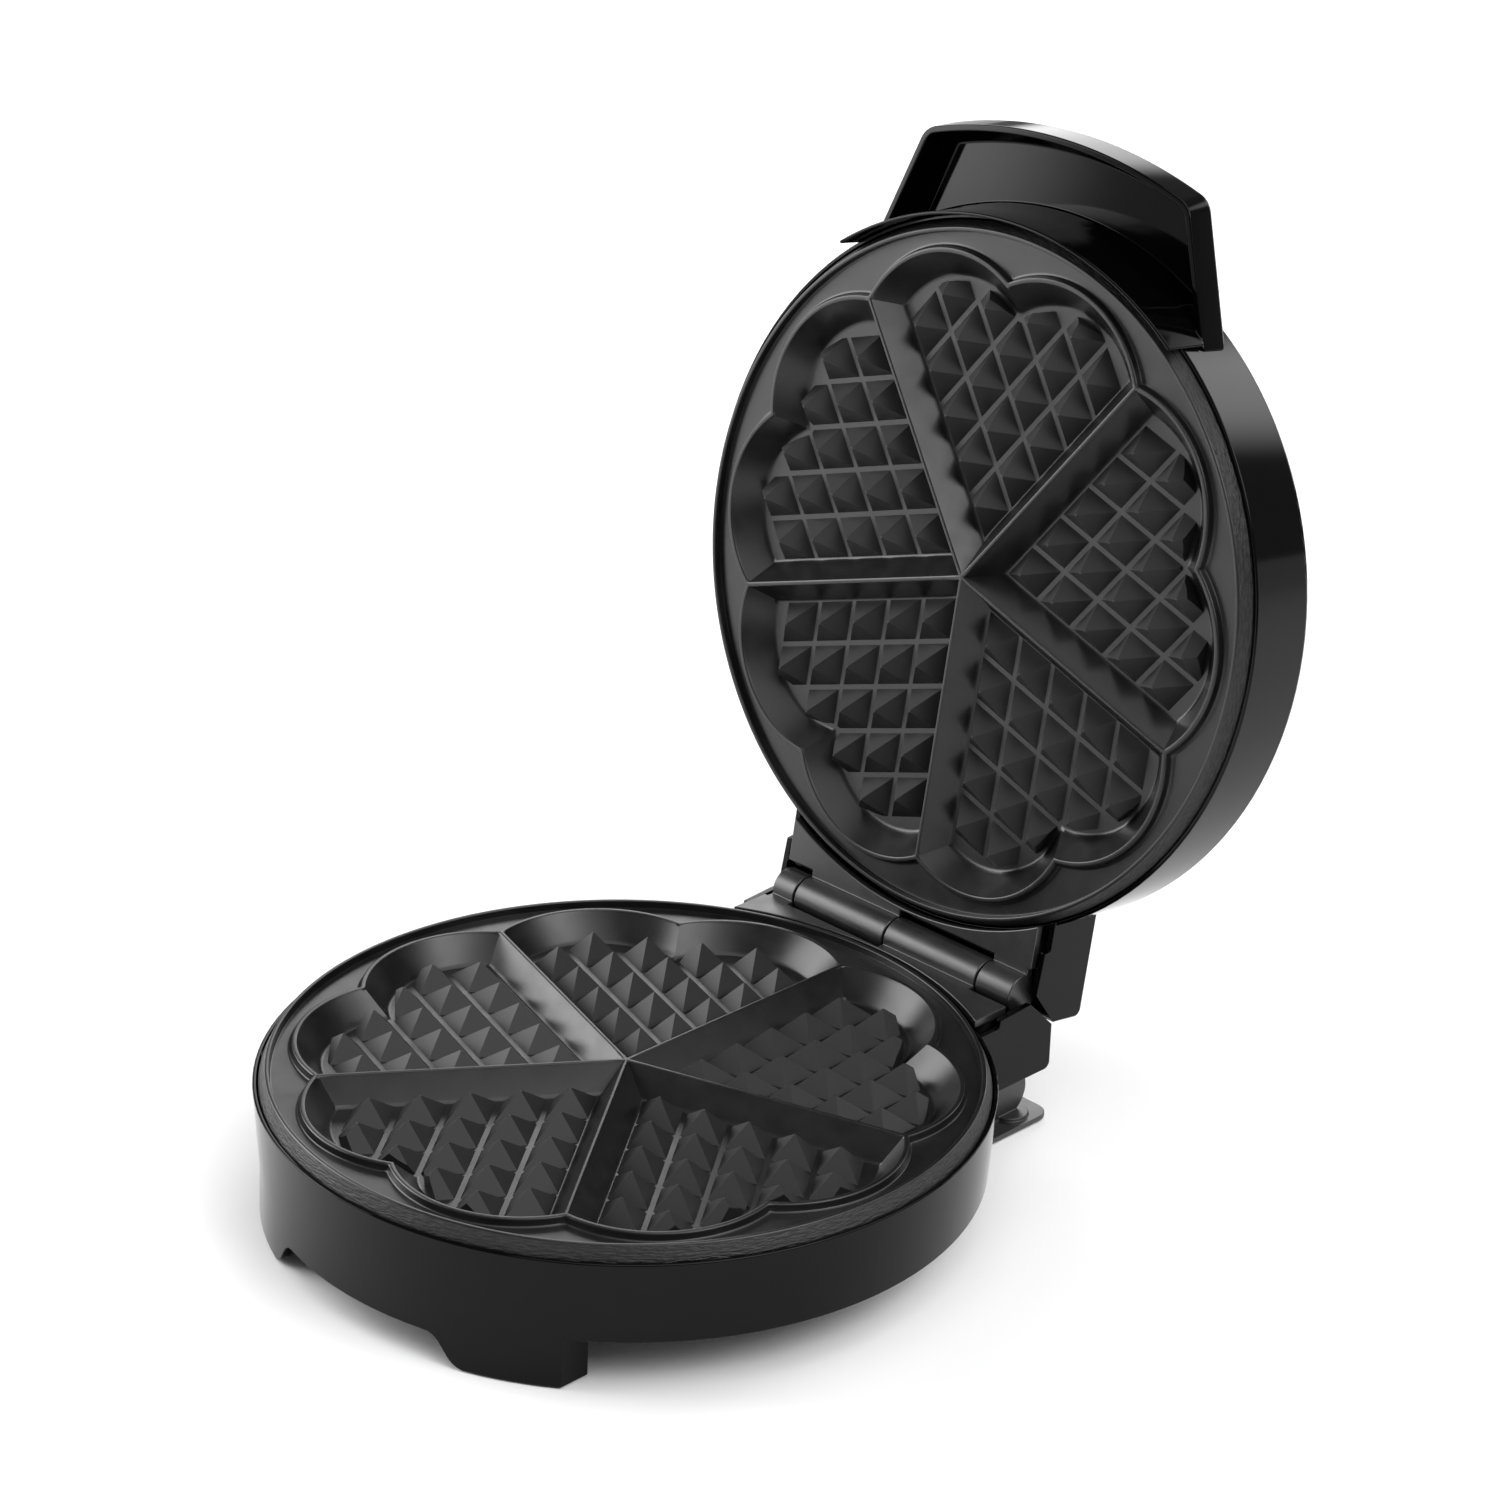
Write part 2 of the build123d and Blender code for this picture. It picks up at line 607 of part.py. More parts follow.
def hinge_block(depth):
    """Hollow hinge block about the hinge plane, open on top for its deck, grooved for the knuckles."""
    corner = (BLOCK_REAR_Y, -depth)
    outer = side_prism(block_outline(depth), BLOCK_HALF, corner, BLOCK_CORNER_R)
    wall = BLOCK_WALL
    inner_y = WALL_R - BLOCK_REACH - wall
    chamfer_in_y = CHAMFER_Y - 1.4 * wall
    cavity_points = [
        (inner_y, wall),
        (chamfer_in_y, wall),
        (chamfer_in_y, -BLOCK_TOP_EDGE),
        (BLOCK_REAR_Y - wall, -CHAMFER_END - 0.4 * wall),
        (BLOCK_REAR_Y - wall, -depth + wall),
        (inner_y, -depth + wall),
    ]
    cavity = side_prism(cavity_points, BLOCK_HALF - wall)
    groove_wall = rod_x(GROOVE_R + wall, -BLOCK_HALF, BLOCK_HALF, HINGE_Y, 0)
    groove = rod_x(GROOVE_R, -BLOCK_HALF + wall, BLOCK_HALF - wall, HINGE_Y, 0)
    seat_half = DECK_HALF + 3 * DECK_SEAT_GAP
    seat = slab(
        -seat_half, seat_half, inner_y, HINGE_Y, -DECK_DROP - DECK_T - DECK_SEAT_GAP, wall
    )
    block = outer - (cavity - groove_wall) - groove - seat
    post_x, post_y = DECK_POST
    for x in (-post_x, post_x):
        block += rod(DECK_POST_R + 1.0, -depth + wall / 2, -DECK_POST_END - LUG_GAP, x, post_y)
        head_plane = -DECK_POST_END - DECK_SCREW_FLOOR
        block -= rod(SCREW_HEAD_R + SCREW_PLAY, -depth - 1, head_plane, x, post_y)
        block -= rod(SCREW_R + SCREW_PLAY, -depth, -DECK_POST_END + 1, x, post_y)
    return block


def deck_with_knuckles(knuckles):
    """Hinge deck about the hinge plane, with the knuckles of the numbered places, and its screw posts."""
    top = -DECK_DROP
    low = top - DECK_T
    edge_y = HINGE_Y - KNUCKLE_R - KNUCKLE_CLEARANCE
    deck = slab(-DECK_HALF, DECK_HALF, WALL_R - BLOCK_REACH, edge_y, low, top)
    bore = rod_x(PIN_R + PIN_CLEARANCE, KNUCKLE_EDGES[0] - 1, KNUCKLE_EDGES[-1] - BLIND_END, HINGE_Y, 0)
    barrels = None
    for place in knuckles:
        left = KNUCKLE_EDGES[place] + (KNUCKLE_GAP / 2 if place else 0)
        last = place == len(KNUCKLE_EDGES) - 2
        right = KNUCKLE_EDGES[place + 1] - (0 if last else KNUCKLE_GAP / 2)
        web = slab(left, right, edge_y - 1, HINGE_Y, low, top)
        barrel = rod_x(KNUCKLE_R, left, right, HINGE_Y, 0) + web
        barrels = barrel if barrels is None else barrels + barrel
    deck = deck + barrels - bore
    deck -= rod(SKIRT_R + DECK_CLEARANCE, low - 1, top + 1)
    post_x, post_y = DECK_POST
    for x in (-post_x, post_x):
        deck += rod(DECK_POST_R, -DECK_POST_END, low + 0.5, x, post_y)
        deck -= rod(SCREW_R + THREAD_PLAY, -DECK_POST_END, -DECK_POST_END + DECK_SCREW_HOLE, x, post_y)
    return deck


def deck_screws():
    """Screws from the block's floor up into the deck's posts."""
    post_x, post_y = DECK_POST
    head_plane = -DECK_POST_END - DECK_SCREW_FLOOR
    one = screw(DECK_SCREW_FLOOR + DECK_SCREW_GRIP)
    return [Pos(x, post_y, head_plane) * one for x in (-post_x, post_x)]


def lead_heights():
    """Heights of a heater's contact pins and of the terminal block's ways."""
    floor = terminal_block_place()[1]
    return -ELEMENT_DEPTH - PLATE_GAP / 2, floor + TERMINAL_BLOCK[2] / 2


def lead_holes():
    """Holes in the wall behind the heater's terminals, for the leads to the hinge block."""
    near = WALL_R - 3 * WALL_T
    hole = rod_out(LEAD_HOLE_R, near, WALL_R + WALL_T, 90, sum(lead_heights()) / 2)
    return [Rot(0, 0, side * ELEMENT_GAP_HALF) * hole for side in (-1, 1)]


def foot_outline(grow=0.0):
    """Front view of the right foot below the wall, with an S-shaped inner side."""
    root = -BASE_WALL_DEPTH + grow
    sole = -FOOT_DEPTH
    s_low = (FOOT_INNER_X - grow, sole)
    s_high = (APRON_X - grow, -APRON_DEPTH)
    bend = (FOOT_INNER_X - APRON_X) / 2
    edges = [
        Line((0, root), (FOOT_SIDE_X + grow, root)),
        Line((FOOT_SIDE_X + grow, root), (FOOT_SIDE_X + grow, sole)),
        Line((FOOT_SIDE_X + grow, sole), s_low),
        Bezier(s_low, (s_low[0] - bend, sole), (s_high[0] + bend, s_high[1]), s_high),
        Line(s_high, (0, -APRON_DEPTH)),
        Line((0, -APRON_DEPTH), (0, root)),
    ]
    return make_face(edges)


def front_view_cut(ring, outline):
    """Part of a ring inside a front view and in front of the middle, with its mirror image."""
    front = extrude(Plane.XZ * outline, WALL_R + 10)
    half = ring & front
    return half + mirror(half, about=Plane.YZ)


def under_ring(thickness, grow=0.0):
    """Ring under the wall that the feet and the apron are cut from."""
    top_r = wall_r(BASE_WALL_DEPTH, BASE_DRAFT)
    return turned(
        [
            (top_r + grow, -BASE_WALL_DEPTH + grow),
            (top_r + FOOT_OUT + grow, -FOOT_DEPTH),
            (top_r - thickness - grow, -FOOT_DEPTH),
            (top_r - thickness - grow, -BASE_WALL_DEPTH + grow),
        ]
    )


def foot_zone(grow=0.0):
    """Front view of the right foot alone, without the apron."""
    outline = foot_outline(grow)
    zone_x = APRON_X + FOOT_ZONE_START - grow
    width = FOOT_SIDE_X + 2 * grow - zone_x
    zone = Rectangle(width, FOOT_DEPTH, align=(Align.MIN, Align.MIN))
    return outline & Pos(zone_x, -FOOT_DEPTH) * zone


def pad_recesses():
    pads = []
    for x in FRONT_PAD_X:
        mid_r = wall_r(BASE_WALL_DEPTH, BASE_DRAFT) - FOOT_T / 2
        pads.append((x, -sqrt(mid_r**2 - x**2)))
    return pads + [(-x, y) for x, y in pads]


def base_shell():
    wall = wall_ring(BASE_WALL_DEPTH, BASE_DRAFT)
    apron = front_view_cut(under_ring(WALL_T), foot_outline())
    feet = front_view_cut(under_ring(FOOT_T), foot_zone())
    block = Pos(0, 0, -HINGE_DROP) * hinge_block(LOWER_BLOCK_DEPTH)
    block -= wall_inside(BASE_WALL_DEPTH, BASE_DRAFT)
    shell = wall + apron + feet + block + plate_lugs(BASE_DRAFT)
    wall_in = wall_r(BASE_WALL_DEPTH, BASE_DRAFT) - WALL_T / 2
    floor = pan_inner_z(PAN_SCREW_R)
    post = rod(PAN_POST_R, floor, -PAN_POST_TOP, PAN_SCREW_R)
    rib_low = -BASE_WALL_DEPTH + PAN_T + PAN_LIP + PAN_GAP
    post += slab(PAN_SCREW_R, wall_in, -LUG_RIB / 2, LUG_RIB / 2, rib_low, -PAN_POST_TOP)
    post -= rod(SCREW_R + THREAD_PLAY, floor, floor + PAN_SCREW_LENGTH, PAN_SCREW_R)
    shell = shell + along_spokes(post, PAN_SCREW_ANGLES)
    for x, y in pad_recesses():
        shell -= rod(FRONT_PAD_R, -FOOT_DEPTH, -FOOT_DEPTH + PAD_RECESS, x, y)
    shell = shell - lead_holes() - inlet_hole()
    floor_low = -HINGE_DROP - LOWER_BLOCK_DEPTH
    wrap_x, wrap_y = WRAP_SCREW
    for x in (-wrap_x, wrap_x):
        shell += rod(PAN_POST_R, floor_low + 1, floor_low + WRAP_SCREW_GRIP + 2, x, wrap_y)
        shell -= rod(SCREW_R + THREAD_PLAY, floor_low, floor_low + WRAP_SCREW_GRIP + 1, x, wrap_y)
    return shell


def lid_shell():
    """Ring wall of the lid with its shoulder, the ledge for the cover and the upper hinge block."""
    top_r = wall_r(LID_WALL_HEIGHT, LID_DRAFT)
    wall = mirrored(wall_ring(LID_WALL_HEIGHT, LID_DRAFT))
    seat_r = top_r - LID_SHOULDER_R
    crown = LID_WALL_HEIGHT + LID_SHOULDER_R
    ledge = crown - COVER_T
    edges = [
        Line((top_r - WALL_T, LID_WALL_HEIGHT - 1), (top_r, LID_WALL_HEIGHT)),
        ThreePointArc(
            (top_r, LID_WALL_HEIGHT),
            (seat_r + LID_SHOULDER_R * cos(pi / 4), LID_WALL_HEIGHT + LID_SHOULDER_R * sin(pi / 4)),
            (seat_r, crown),
        ),
        Line((seat_r, crown), (seat_r, ledge)),
        Line((seat_r, ledge), (seat_r - COVER_LEDGE_WIDTH, ledge)),
        Line((seat_r - COVER_LEDGE_WIDTH, ledge), (seat_r - COVER_LEDGE_WIDTH, ledge - COVER_LEDGE_T)),
        Line((seat_r - COVER_LEDGE_WIDTH, ledge - COVER_LEDGE_T), (seat_r, ledge - COVER_LEDGE_T)),
        Line((seat_r, ledge - COVER_LEDGE_T), (top_r - WALL_T, LID_WALL_HEIGHT - 1)),
    ]
    shoulder = revolve(Plane.XZ * make_face(edges), Axis.Z)
    block = Pos(0, 0, -HINGE_DROP) * mirrored(hinge_block(UPPER_BLOCK_DEPTH))
    block -= mirrored(wall_inside(LID_WALL_HEIGHT, LID_DRAFT))
    shell = wall + shoulder + block + [mirrored(lug) for lug in plate_lugs(LID_DRAFT)]
    shell = shell - [mirrored(hole) for hole in lead_holes()]
    for angle in HANDLE_SCREW_ANGLES:
        screw_z = handle_screw_z()
        wall_in = wall_r(screw_z, LID_DRAFT) - WALL_T
        shell -= rod_out(SCREW_R + SCREW_PLAY, wall_in - 1, WALL_R + 1, angle, screw_z)
        shell -= rod_out(SCREW_HEAD_R + SCREW_PLAY, wall_in - 2 * SCREW_HEAD_T, wall_in, angle, screw_z)
    return shell


def lid_cover():
    """Low dome that snaps on to the ledge of the lid's wall."""
    crown = LID_WALL_HEIGHT + LID_SHOULDER_R
    rim_r = wall_r(LID_WALL_HEIGHT, LID_DRAFT) - LID_SHOULDER_R - COVER_GAP
    dome_r = (rim_r**2 + COVER_RISE**2) / (2 * COVER_RISE)
    mid = asin(rim_r / dome_r) / 2
    centre = crown + COVER_RISE - dome_r
    inner_r = dome_r - COVER_T
    inner_rim = rim_r - COVER_LEDGE_WIDTH
    inner_edge = sqrt(inner_r**2 - inner_rim**2) + centre
    edges = [
        ThreePointArc(
            (rim_r, crown), (dome_r * sin(mid), centre + dome_r * cos(mid)), (0, crown + COVER_RISE)
        ),
        Line((0, crown + COVER_RISE), (0, centre + inner_r)),
        ThreePointArc(
            (0, centre + inner_r),
            (inner_r * sin(mid), centre + inner_r * cos(mid)),
            (inner_rim, inner_edge),
        ),
        Line((inner_rim, inner_edge), (inner_rim, crown - COVER_T)),
        Line((inner_rim, crown - COVER_T), (rim_r, crown - COVER_T)),
        Line((rim_r, crown - COVER_T), (rim_r, crown)),
    ]
    cover = revolve(Plane.XZ * make_face(edges), Axis.Z)
    ledge_in = wall_r(LID_WALL_HEIGHT, LID_DRAFT) - LID_SHOULDER_R - COVER_LEDGE_WIDTH
    ledge_low = crown - COVER_T - COVER_LEDGE_T
    leg_out = ledge_in - HOOK_PLAY
    half = HOOK_WIDTH / 2
    hook = slab(leg_out - HOOK_T, leg_out, -half, half, ledge_low - 1.6, crown - 0.8)
    hook += slab(leg_out - 0.5, leg_out + 1.5, -half, half, ledge_low - 1.6, ledge_low - HOOK_PLAY)
    cover = cover + along_spokes(hook, HOOK_ANGLES)
    for x in (-LENS_X, LENS_X):
        cover -= rod(LENS_R, crown - 5, crown + COVER_RISE + 5, x, -LENS_Y)
    return cover


def dome_height(x, y):
    """Height of the cover's outside at a place."""
    rim_r = wall_r(LID_WALL_HEIGHT, LID_DRAFT) - LID_SHOULDER_R - COVER_GAP
    dome_r = (rim_r**2 + COVER_RISE**2) / (2 * COVER_RISE)
    centre = LID_WALL_HEIGHT + LID_SHOULDER_R + COVER_RISE - dome_r
    return centre + sqrt(dome_r**2 - x**2 - y**2)


def indicator_lens(x):
    """Small round lens pressed into the cover."""
    top = dome_height(x, LENS_Y)
    stub = top - COVER_T - LENS_STUB
    lens = rod(LENS_R, stub, top + LENS_PROUD, x, -LENS_Y)
    lens = fillet(lens.edges().sort_by(Axis.Z)[-1], LENS_PROUD * 0.8)
    return lens + rod(LENS_FLANGE_R, stub, top - COVER_T - LENS_FLANGE_GAP, x, -LENS_Y)


def lamp_holder():
    """Small board with two neon lamps under the lenses, on two posts from the reflector side."""
    width, depth, thick = LAMP_BOARD
    top = dome_height(LENS_X, LENS_Y) - COVER_T - LENS_STUB - LAMP_GAP
    board_z = REFLECTOR_DEPTH + REFLECTOR_T + LAMP_POST_HEIGHT
    board = slab(-width / 2, width / 2, -LENS_Y - depth / 2, -LENS_Y + depth / 2, board_z, board_z + thick)
    for x in (-LENS_X, LENS_X):
        board += rod(LAMP_R, board_z + thick / 2, top, x, -LENS_Y)
    post_x = width / 2 - LAMP_POST_R - 1
    for x in (-post_x, post_x):
        board += rod(LAMP_POST_R, REFLECTOR_DEPTH + REFLECTOR_T, board_z + thick / 2, x, -LENS_Y)
    return board


# Base underside

def pan_inner_z(radius):
    """Height of the pan's inside at a radius."""
    if radius > PAN_BULGE_R:
        rim_r = wall_r(BASE_WALL_DEPTH, BASE_DRAFT) - WALL_T - PAN_GAP
        share = (rim_r - radius) / (rim_r - PAN_BULGE_R)
        return -BASE_WALL_DEPTH + PAN_T - PAN_BULGE * share
    share = (PAN_BULGE_R - radius) / PAN_BULGE_R
    return -BASE_WALL_DEPTH + PAN_T - PAN_BULGE - PAN_CENTRE_DROP * share


def base_pan():
    rim_r = wall_r(BASE_WALL_DEPTH, BASE_DRAFT) - WALL_T - PAN_GAP
    pan = turned(
        [
            (0, pan_inner_z(0)),
            (PAN_BULGE_R, pan_inner_z(PAN_BULGE_R)),
            (rim_r - PAN_T, pan_inner_z(rim_r - PAN_T)),
            (rim_r - PAN_T, pan_inner_z(rim_r) + PAN_LIP),
            (rim_r, pan_inner_z(rim_r) + PAN_LIP),
            (rim_r, pan_inner_z(rim_r) - PAN_T),
            (PAN_BULGE_R, pan_inner_z(PAN_BULGE_R) - PAN_T),
            (0, pan_inner_z(0) - PAN_T),
        ]
    )
    pan -= front_view_cut(under_ring(FOOT_T, PAN_GAP + 2.0), foot_zone(PAN_GAP))
    for angle in PAN_SCREW_ANGLES:
        x, y = polar(PAN_SCREW_R, angle)
        floor = pan_inner_z(PAN_SCREW_R)
        head_plane = floor - PAN_T - PAN_BOSS_DROP
        pan -= rod(PAN_POST_R + PAN_GAP, floor, floor + 2 * PAN_T, x, y)
        pan += rod(PAN_POST_R + PAN_BOSS_WALL, head_plane, floor, x, y)
        pan -= rod(SCREW_HEAD_R + SCREW_PLAY, head_plane - PAN_T, head_plane, x, y)
        pan -= rod(SCREW_R + SCREW_PLAY, head_plane - 1, floor + 1, x, y)
    return pan


def base_pan_screws():
    head_plane = pan_inner_z(PAN_SCREW_R) - PAN_T - PAN_BOSS_DROP
    one = Pos(PAN_SCREW_R, 0, head_plane) * screw(PAN_SCREW_LENGTH)
    return along_spokes(one, PAN_SCREW_ANGLES)


def neck_outline(inset):
    """Side view of the neck: flat in front, half round behind."""
    high = -HINGE_DROP - LOWER_BLOCK_DEPTH
    centre_z = high - NECK_R
    centre_y = NECK_REAR_Y - NECK_R
    r = NECK_R - inset
    front = NECK_FRONT_Y + inset
    edges = [
        Line((front, centre_z + r), (centre_y, centre_z + r)),
        ThreePointArc((centre_y, centre_z + r), (centre_y + r, centre_z), (centre_y, centre_z - r)),
        Line((centre_y, centre_z - r), (front, centre_z - r)),
        Line((front, centre_z - r), (front, centre_z + r)),
    ]
    return make_face(edges)


def cord_wrap():
    """Neck and flange that the lead is wound on, and that the cooker stands on at the back."""
    high = -HINGE_DROP - LOWER_BLOCK_DEPTH
    neck = extrude(Plane.YZ * neck_outline(0), NECK_HALF, both=True)
    neck -= extrude(Plane.YZ * neck_outline(NECK_WALL), NECK_HALF - NECK_WALL, both=True)
    flange_top = high - 2 * NECK_R + 0.3
    plan = Pos(0, (WRAP_FRONT_Y + WRAP_REAR_Y) / 2) * RectangleRounded(
        2 * WRAP_HALF, WRAP_REAR_Y - WRAP_FRONT_Y, WRAP_CORNER_R
    )
    flange = Pos(0, 0, -FOOT_DEPTH) * extrude(plan, flange_top + FOOT_DEPTH)
    wrap = neck + flange
    wrap_x, wrap_y = WRAP_SCREW
    for x in (-wrap_x, wrap_x):
        wrap += rod(SCREW_HEAD_R + 1.8, -FOOT_DEPTH, high, x, wrap_y)
        wrap -= rod(SCREW_HEAD_R + SCREW_PLAY, -FOOT_DEPTH - 1, high - WRAP_SCREW_FLOOR, x, wrap_y)
        wrap -= rod(SCREW_R + SCREW_PLAY, -FOOT_DEPTH, high + 1, x, wrap_y)
    pad_x, pad_y = REAR_PAD
    for x in (-pad_x, pad_x):
        wrap += rod(REAR_PAD_R + 1.2, flange_top - 0.5, -FOOT_DEPTH + PAD_RECESS + 1.2, x, pad_y)
        wrap -= rod(REAR_PAD_R, -FOOT_DEPTH, -FOOT_DEPTH + PAD_RECESS, x, pad_y)
    return wrap


def cord_wrap_screws():
    wrap_x, wrap_y = WRAP_SCREW
    head_plane = -HINGE_DROP - LOWER_BLOCK_DEPTH - WRAP_SCREW_FLOOR
    length = WRAP_SCREW_FLOOR + WRAP_SCREW_GRIP
    return [Pos(x, wrap_y, head_plane) * screw(length) for x in (-wrap_x, wrap_x)]


def pads(places, radius):
    """Rubber discs pressed into their recesses."""
    return [rod(radius, -PAD_STAND, -FOOT_DEPTH + PAD_RECESS, x, y) for x, y in places]


# Front handle

def handle_plan(front, inset, height):
    """Plan of the handle at a height: straight leaning sides, a bowed front and rounded corners."""
    slope = (HANDLE_BASE_X - HANDLE_TIP_X) / (HANDLE_TIP_Y - HANDLE_BASE_Y)
    side_inset = inset * sqrt(1 + slope**2)
    back_y = HANDLE_ROOT_Y
    far_y = -HANDLE_FRONT - HANDLE_CORNER_R
    back_x = HANDLE_BASE_X + slope * (HANDLE_BASE_Y + back_y) - side_inset
    far_x = HANDLE_BASE_X + slope * (HANDLE_BASE_Y + far_y) - side_inset
    sides = Polygon((-back_x, back_y), (-far_x, far_y), (far_x, far_y), (back_x, back_y), align=None)
    bow = Pos(0, HANDLE_FRONT_R - front) * Circle(HANDLE_FRONT_R - inset)
    plan = sides & bow
    corners = plan.vertices().sort_by(Axis.Y)[:2]
    plan = fillet(corners, max(HANDLE_CORNER_R - inset, 1.5))
    return Pos(0, 0, height) * plan


def collar():
    """Crescent lip on the lid's wall, flaring into the roof of the scoop."""
    inner_top = wall_r(HANDLE_TOP_Z, LID_DRAFT)
    profile = [
        (WALL_R, -COLLAR_LIP),
        (WALL_R + COLLAR_LIP_T, -COLLAR_LIP),
        (wall_r(HANDLE_RIM_Z, LID_DRAFT) + COLLAR_MID_T, HANDLE_RIM_Z),
        (wall_r(HANDLE_CEILING_Z, LID_DRAFT) + COLLAR_TOP_T, HANDLE_CEILING_Z),
        (wall_r(HANDLE_CEILING_Z, LID_DRAFT) + COLLAR_TOP_T, HANDLE_TOP_Z),
        (inner_top, HANDLE_TOP_Z),
        (WALL_R, WALL_EDGE),
    ]
    return turned(profile, 2 * COLLAR_HALF_ANGLE, -90 - COLLAR_HALF_ANGLE)


def handle_screw_z():
    return (HANDLE_CEILING_Z + HANDLE_TOP_Z) / 2 + 0.4


def front_handle():
    """Scoop handle: a roof with a skirt round it, open towards the base, and the collar at its root."""
    full = HANDLE_FRONT + HANDLE_FRONT_LEAN
    edge = HANDLE_TOP_Z - HANDLE_SIDE_Z
    outer = loft(
        [
            handle_plan(HANDLE_FRONT, 0, HANDLE_RIM_Z),
            handle_plan(full, 0.3, HANDLE_SIDE_Z),
            handle_plan(full, 0.3 + 0.3 * edge, HANDLE_SIDE_Z + 0.6 * edge),
            handle_plan(full, 0.3 + 0.95 * edge, HANDLE_TOP_Z),
        ],
        ruled=True,
    )
    hollow = loft(
        [
            handle_plan(HANDLE_FRONT, HANDLE_WALL, HANDLE_RIM_Z - 0.5),
            handle_plan(full, HANDLE_WALL + 1.2, HANDLE_CEILING_Z - 3.2),
            handle_plan(full, HANDLE_WALL + 4.4, HANDLE_CEILING_Z),
        ],
        ruled=True,
    )
    root_r = wall_r(HANDLE_TOP_Z, LID_DRAFT)
    root = turned(
        [
            (root_r - 1, HANDLE_CEILING_Z),
            (root_r + ROOT_RUN, HANDLE_TOP_Z - 0.2),
            (root_r - 1, HANDLE_TOP_Z + ROOT_RISE),
        ],
        2 * ROOT_HALF_ANGLE,
        -90 - ROOT_HALF_ANGLE,
    )
    lid_wall = turned(
        [
            (0, -2 * COLLAR_LIP),
            (WALL_R, -2 * COLLAR_LIP),
            (WALL_R, WALL_EDGE),
            (wall_r(2 * HANDLE_TOP_Z, LID_DRAFT), 2 * HANDLE_TOP_Z),
            (0, 2 * HANDLE_TOP_Z),
        ]
    )
    under_rim = rod(HANDLE_FRONT, -COLLAR_LIP - 1, HANDLE_RIM_Z)
    lip = collar()
    handle = outer - hollow + (lip & under_rim) + (lip & outer) + root - lid_wall
    for angle in HANDLE_SCREW_ANGLES:
        handle -= rod_out(SCREW_R + THREAD_PLAY, WALL_R - 6, WALL_R + 6.5, angle, handle_screw_z())
    return handle


def handle_screws():
    wall_in = wall_r(handle_screw_z(), LID_DRAFT) - WALL_T
    one = Pos(wall_in, 0, handle_screw_z()) * Rot(0, 90, 0) * screw(7.5)
    return along_spokes(one, HANDLE_SCREW_ANGLES)


# Electrical parts in the base

def thermostat():
    """Disc thermostat against the middle of the plate, with its fixing tab and two blades."""
    tab_length, tab_width, tab_t = THERMOSTAT_TAB
    high = -FLOWER_DEPTH
    body = rod(THERMOSTAT_R, high - THERMOSTAT_T, high - tab_t)
    body += slab(-tab_length / 2, tab_length / 2, -tab_width / 2, tab_width / 2, high - tab_t, high)
    blade_x, blade_width, blade_t, blade_length = THERMOSTAT_BLADE
    for x in (-blade_x, blade_x):
        body += slab(
            x - blade_t / 2, x + blade_t / 2, -blade_width / 2, blade_width / 2,
            high - THERMOSTAT_T - blade_length, high - THERMOSTAT_T,
        )
    return body


def thermal_fuse():
    """One-shot fuse in a sleeve under the reflector, held by a clip."""
    sheet = -REFLECTOR_DEPTH - REFLECTOR_T
    grip = FUSE_R + FUSE_CLIP_T
    sleeve = rod_x(FUSE_R, -FUSE_LENGTH / 2, FUSE_LENGTH / 2, FUSE_Y, sheet - grip)
    clip = slab(
        -FUSE_CLIP_WIDTH / 2, FUSE_CLIP_WIDTH / 2, FUSE_Y - grip, FUSE_Y + grip, sheet - 1.2 * FUSE_R, sheet
    )
    return sleeve + clip


def terminal_block_place():
    """Where the terminal block's rear and floor are."""
    return BLOCK_REAR_Y - BLOCK_WALL - TERMINAL_BLOCK_GAP, -HINGE_DROP - LOWER_BLOCK_DEPTH + BLOCK_WALL


def terminal_block():
    """Screw terminal strip on the floor of the lower hinge block."""
    length, width, height = TERMINAL_BLOCK
    rear, floor = terminal_block_place()
    strip = slab(-length / 2, length / 2, rear - width, rear, floor, floor + height)
    for place in range(TERMINAL_WAYS):
        x = length * ((place + 0.5) / TERMINAL_WAYS - 0.5)
        top = floor + height
        strip -= rod(WAY_RECESS_R, top - WAY_RECESS, top, x, rear - width / 2)
        strip += rod(WAY_SCREW_R, top - WAY_RECESS - 0.1, top - 0.3, x, rear - width / 2)
        way = Cylinder(LEAD_R + THREAD_PLAY, 2 * width)
        strip -= Pos(x, rear - width / 2, floor + height / 2) * Rot(90, 0, 0) * way
        strip += rod(WAY_SHANK_R, floor + 0.5, top - WAY_RECESS, x, rear - width / 2)
    return strip


def base_leads():
    """Leads from the outer ways of the terminal block to the lower heater's terminals."""
    length, width, _ = TERMINAL_BLOCK
    front = terminal_block_place()[0] - width
    way_x = length * (0.5 - 0.5 / TERMINAL_WAYS)
    pin_z, way_z = lead_heights()
    leads = []
    for side in (-1, 1):
        angle = 90 - side * ELEMENT_GAP_HALF
        path = FilletPolyline(
            (*polar(TERMINAL_END_R, angle), pin_z),
            (*polar(TERMINAL_END_R + LEAD_STRAIGHT, angle), pin_z),
            (side * way_x, front - LEAD_STRAIGHT, way_z),
            (side * way_x, front + LEAD_ENTRY, way_z),
            radius=LEAD_BEND_R,
        )
        start = Plane(origin=path @ 0, z_dir=path % 0)
        leads.append(sweep(start * Circle(LEAD_R), path=path))
    return leads


def inlet_place():
    return INLET_X, -HINGE_DROP - INLET_DEPTH


def inlet_hole():
    x, z = inlet_place()
    return Pos(x, BLOCK_REAR_Y, z) * Rot(90, 0, 0) * Cylinder(INLET_SLEEVE_R, 8)


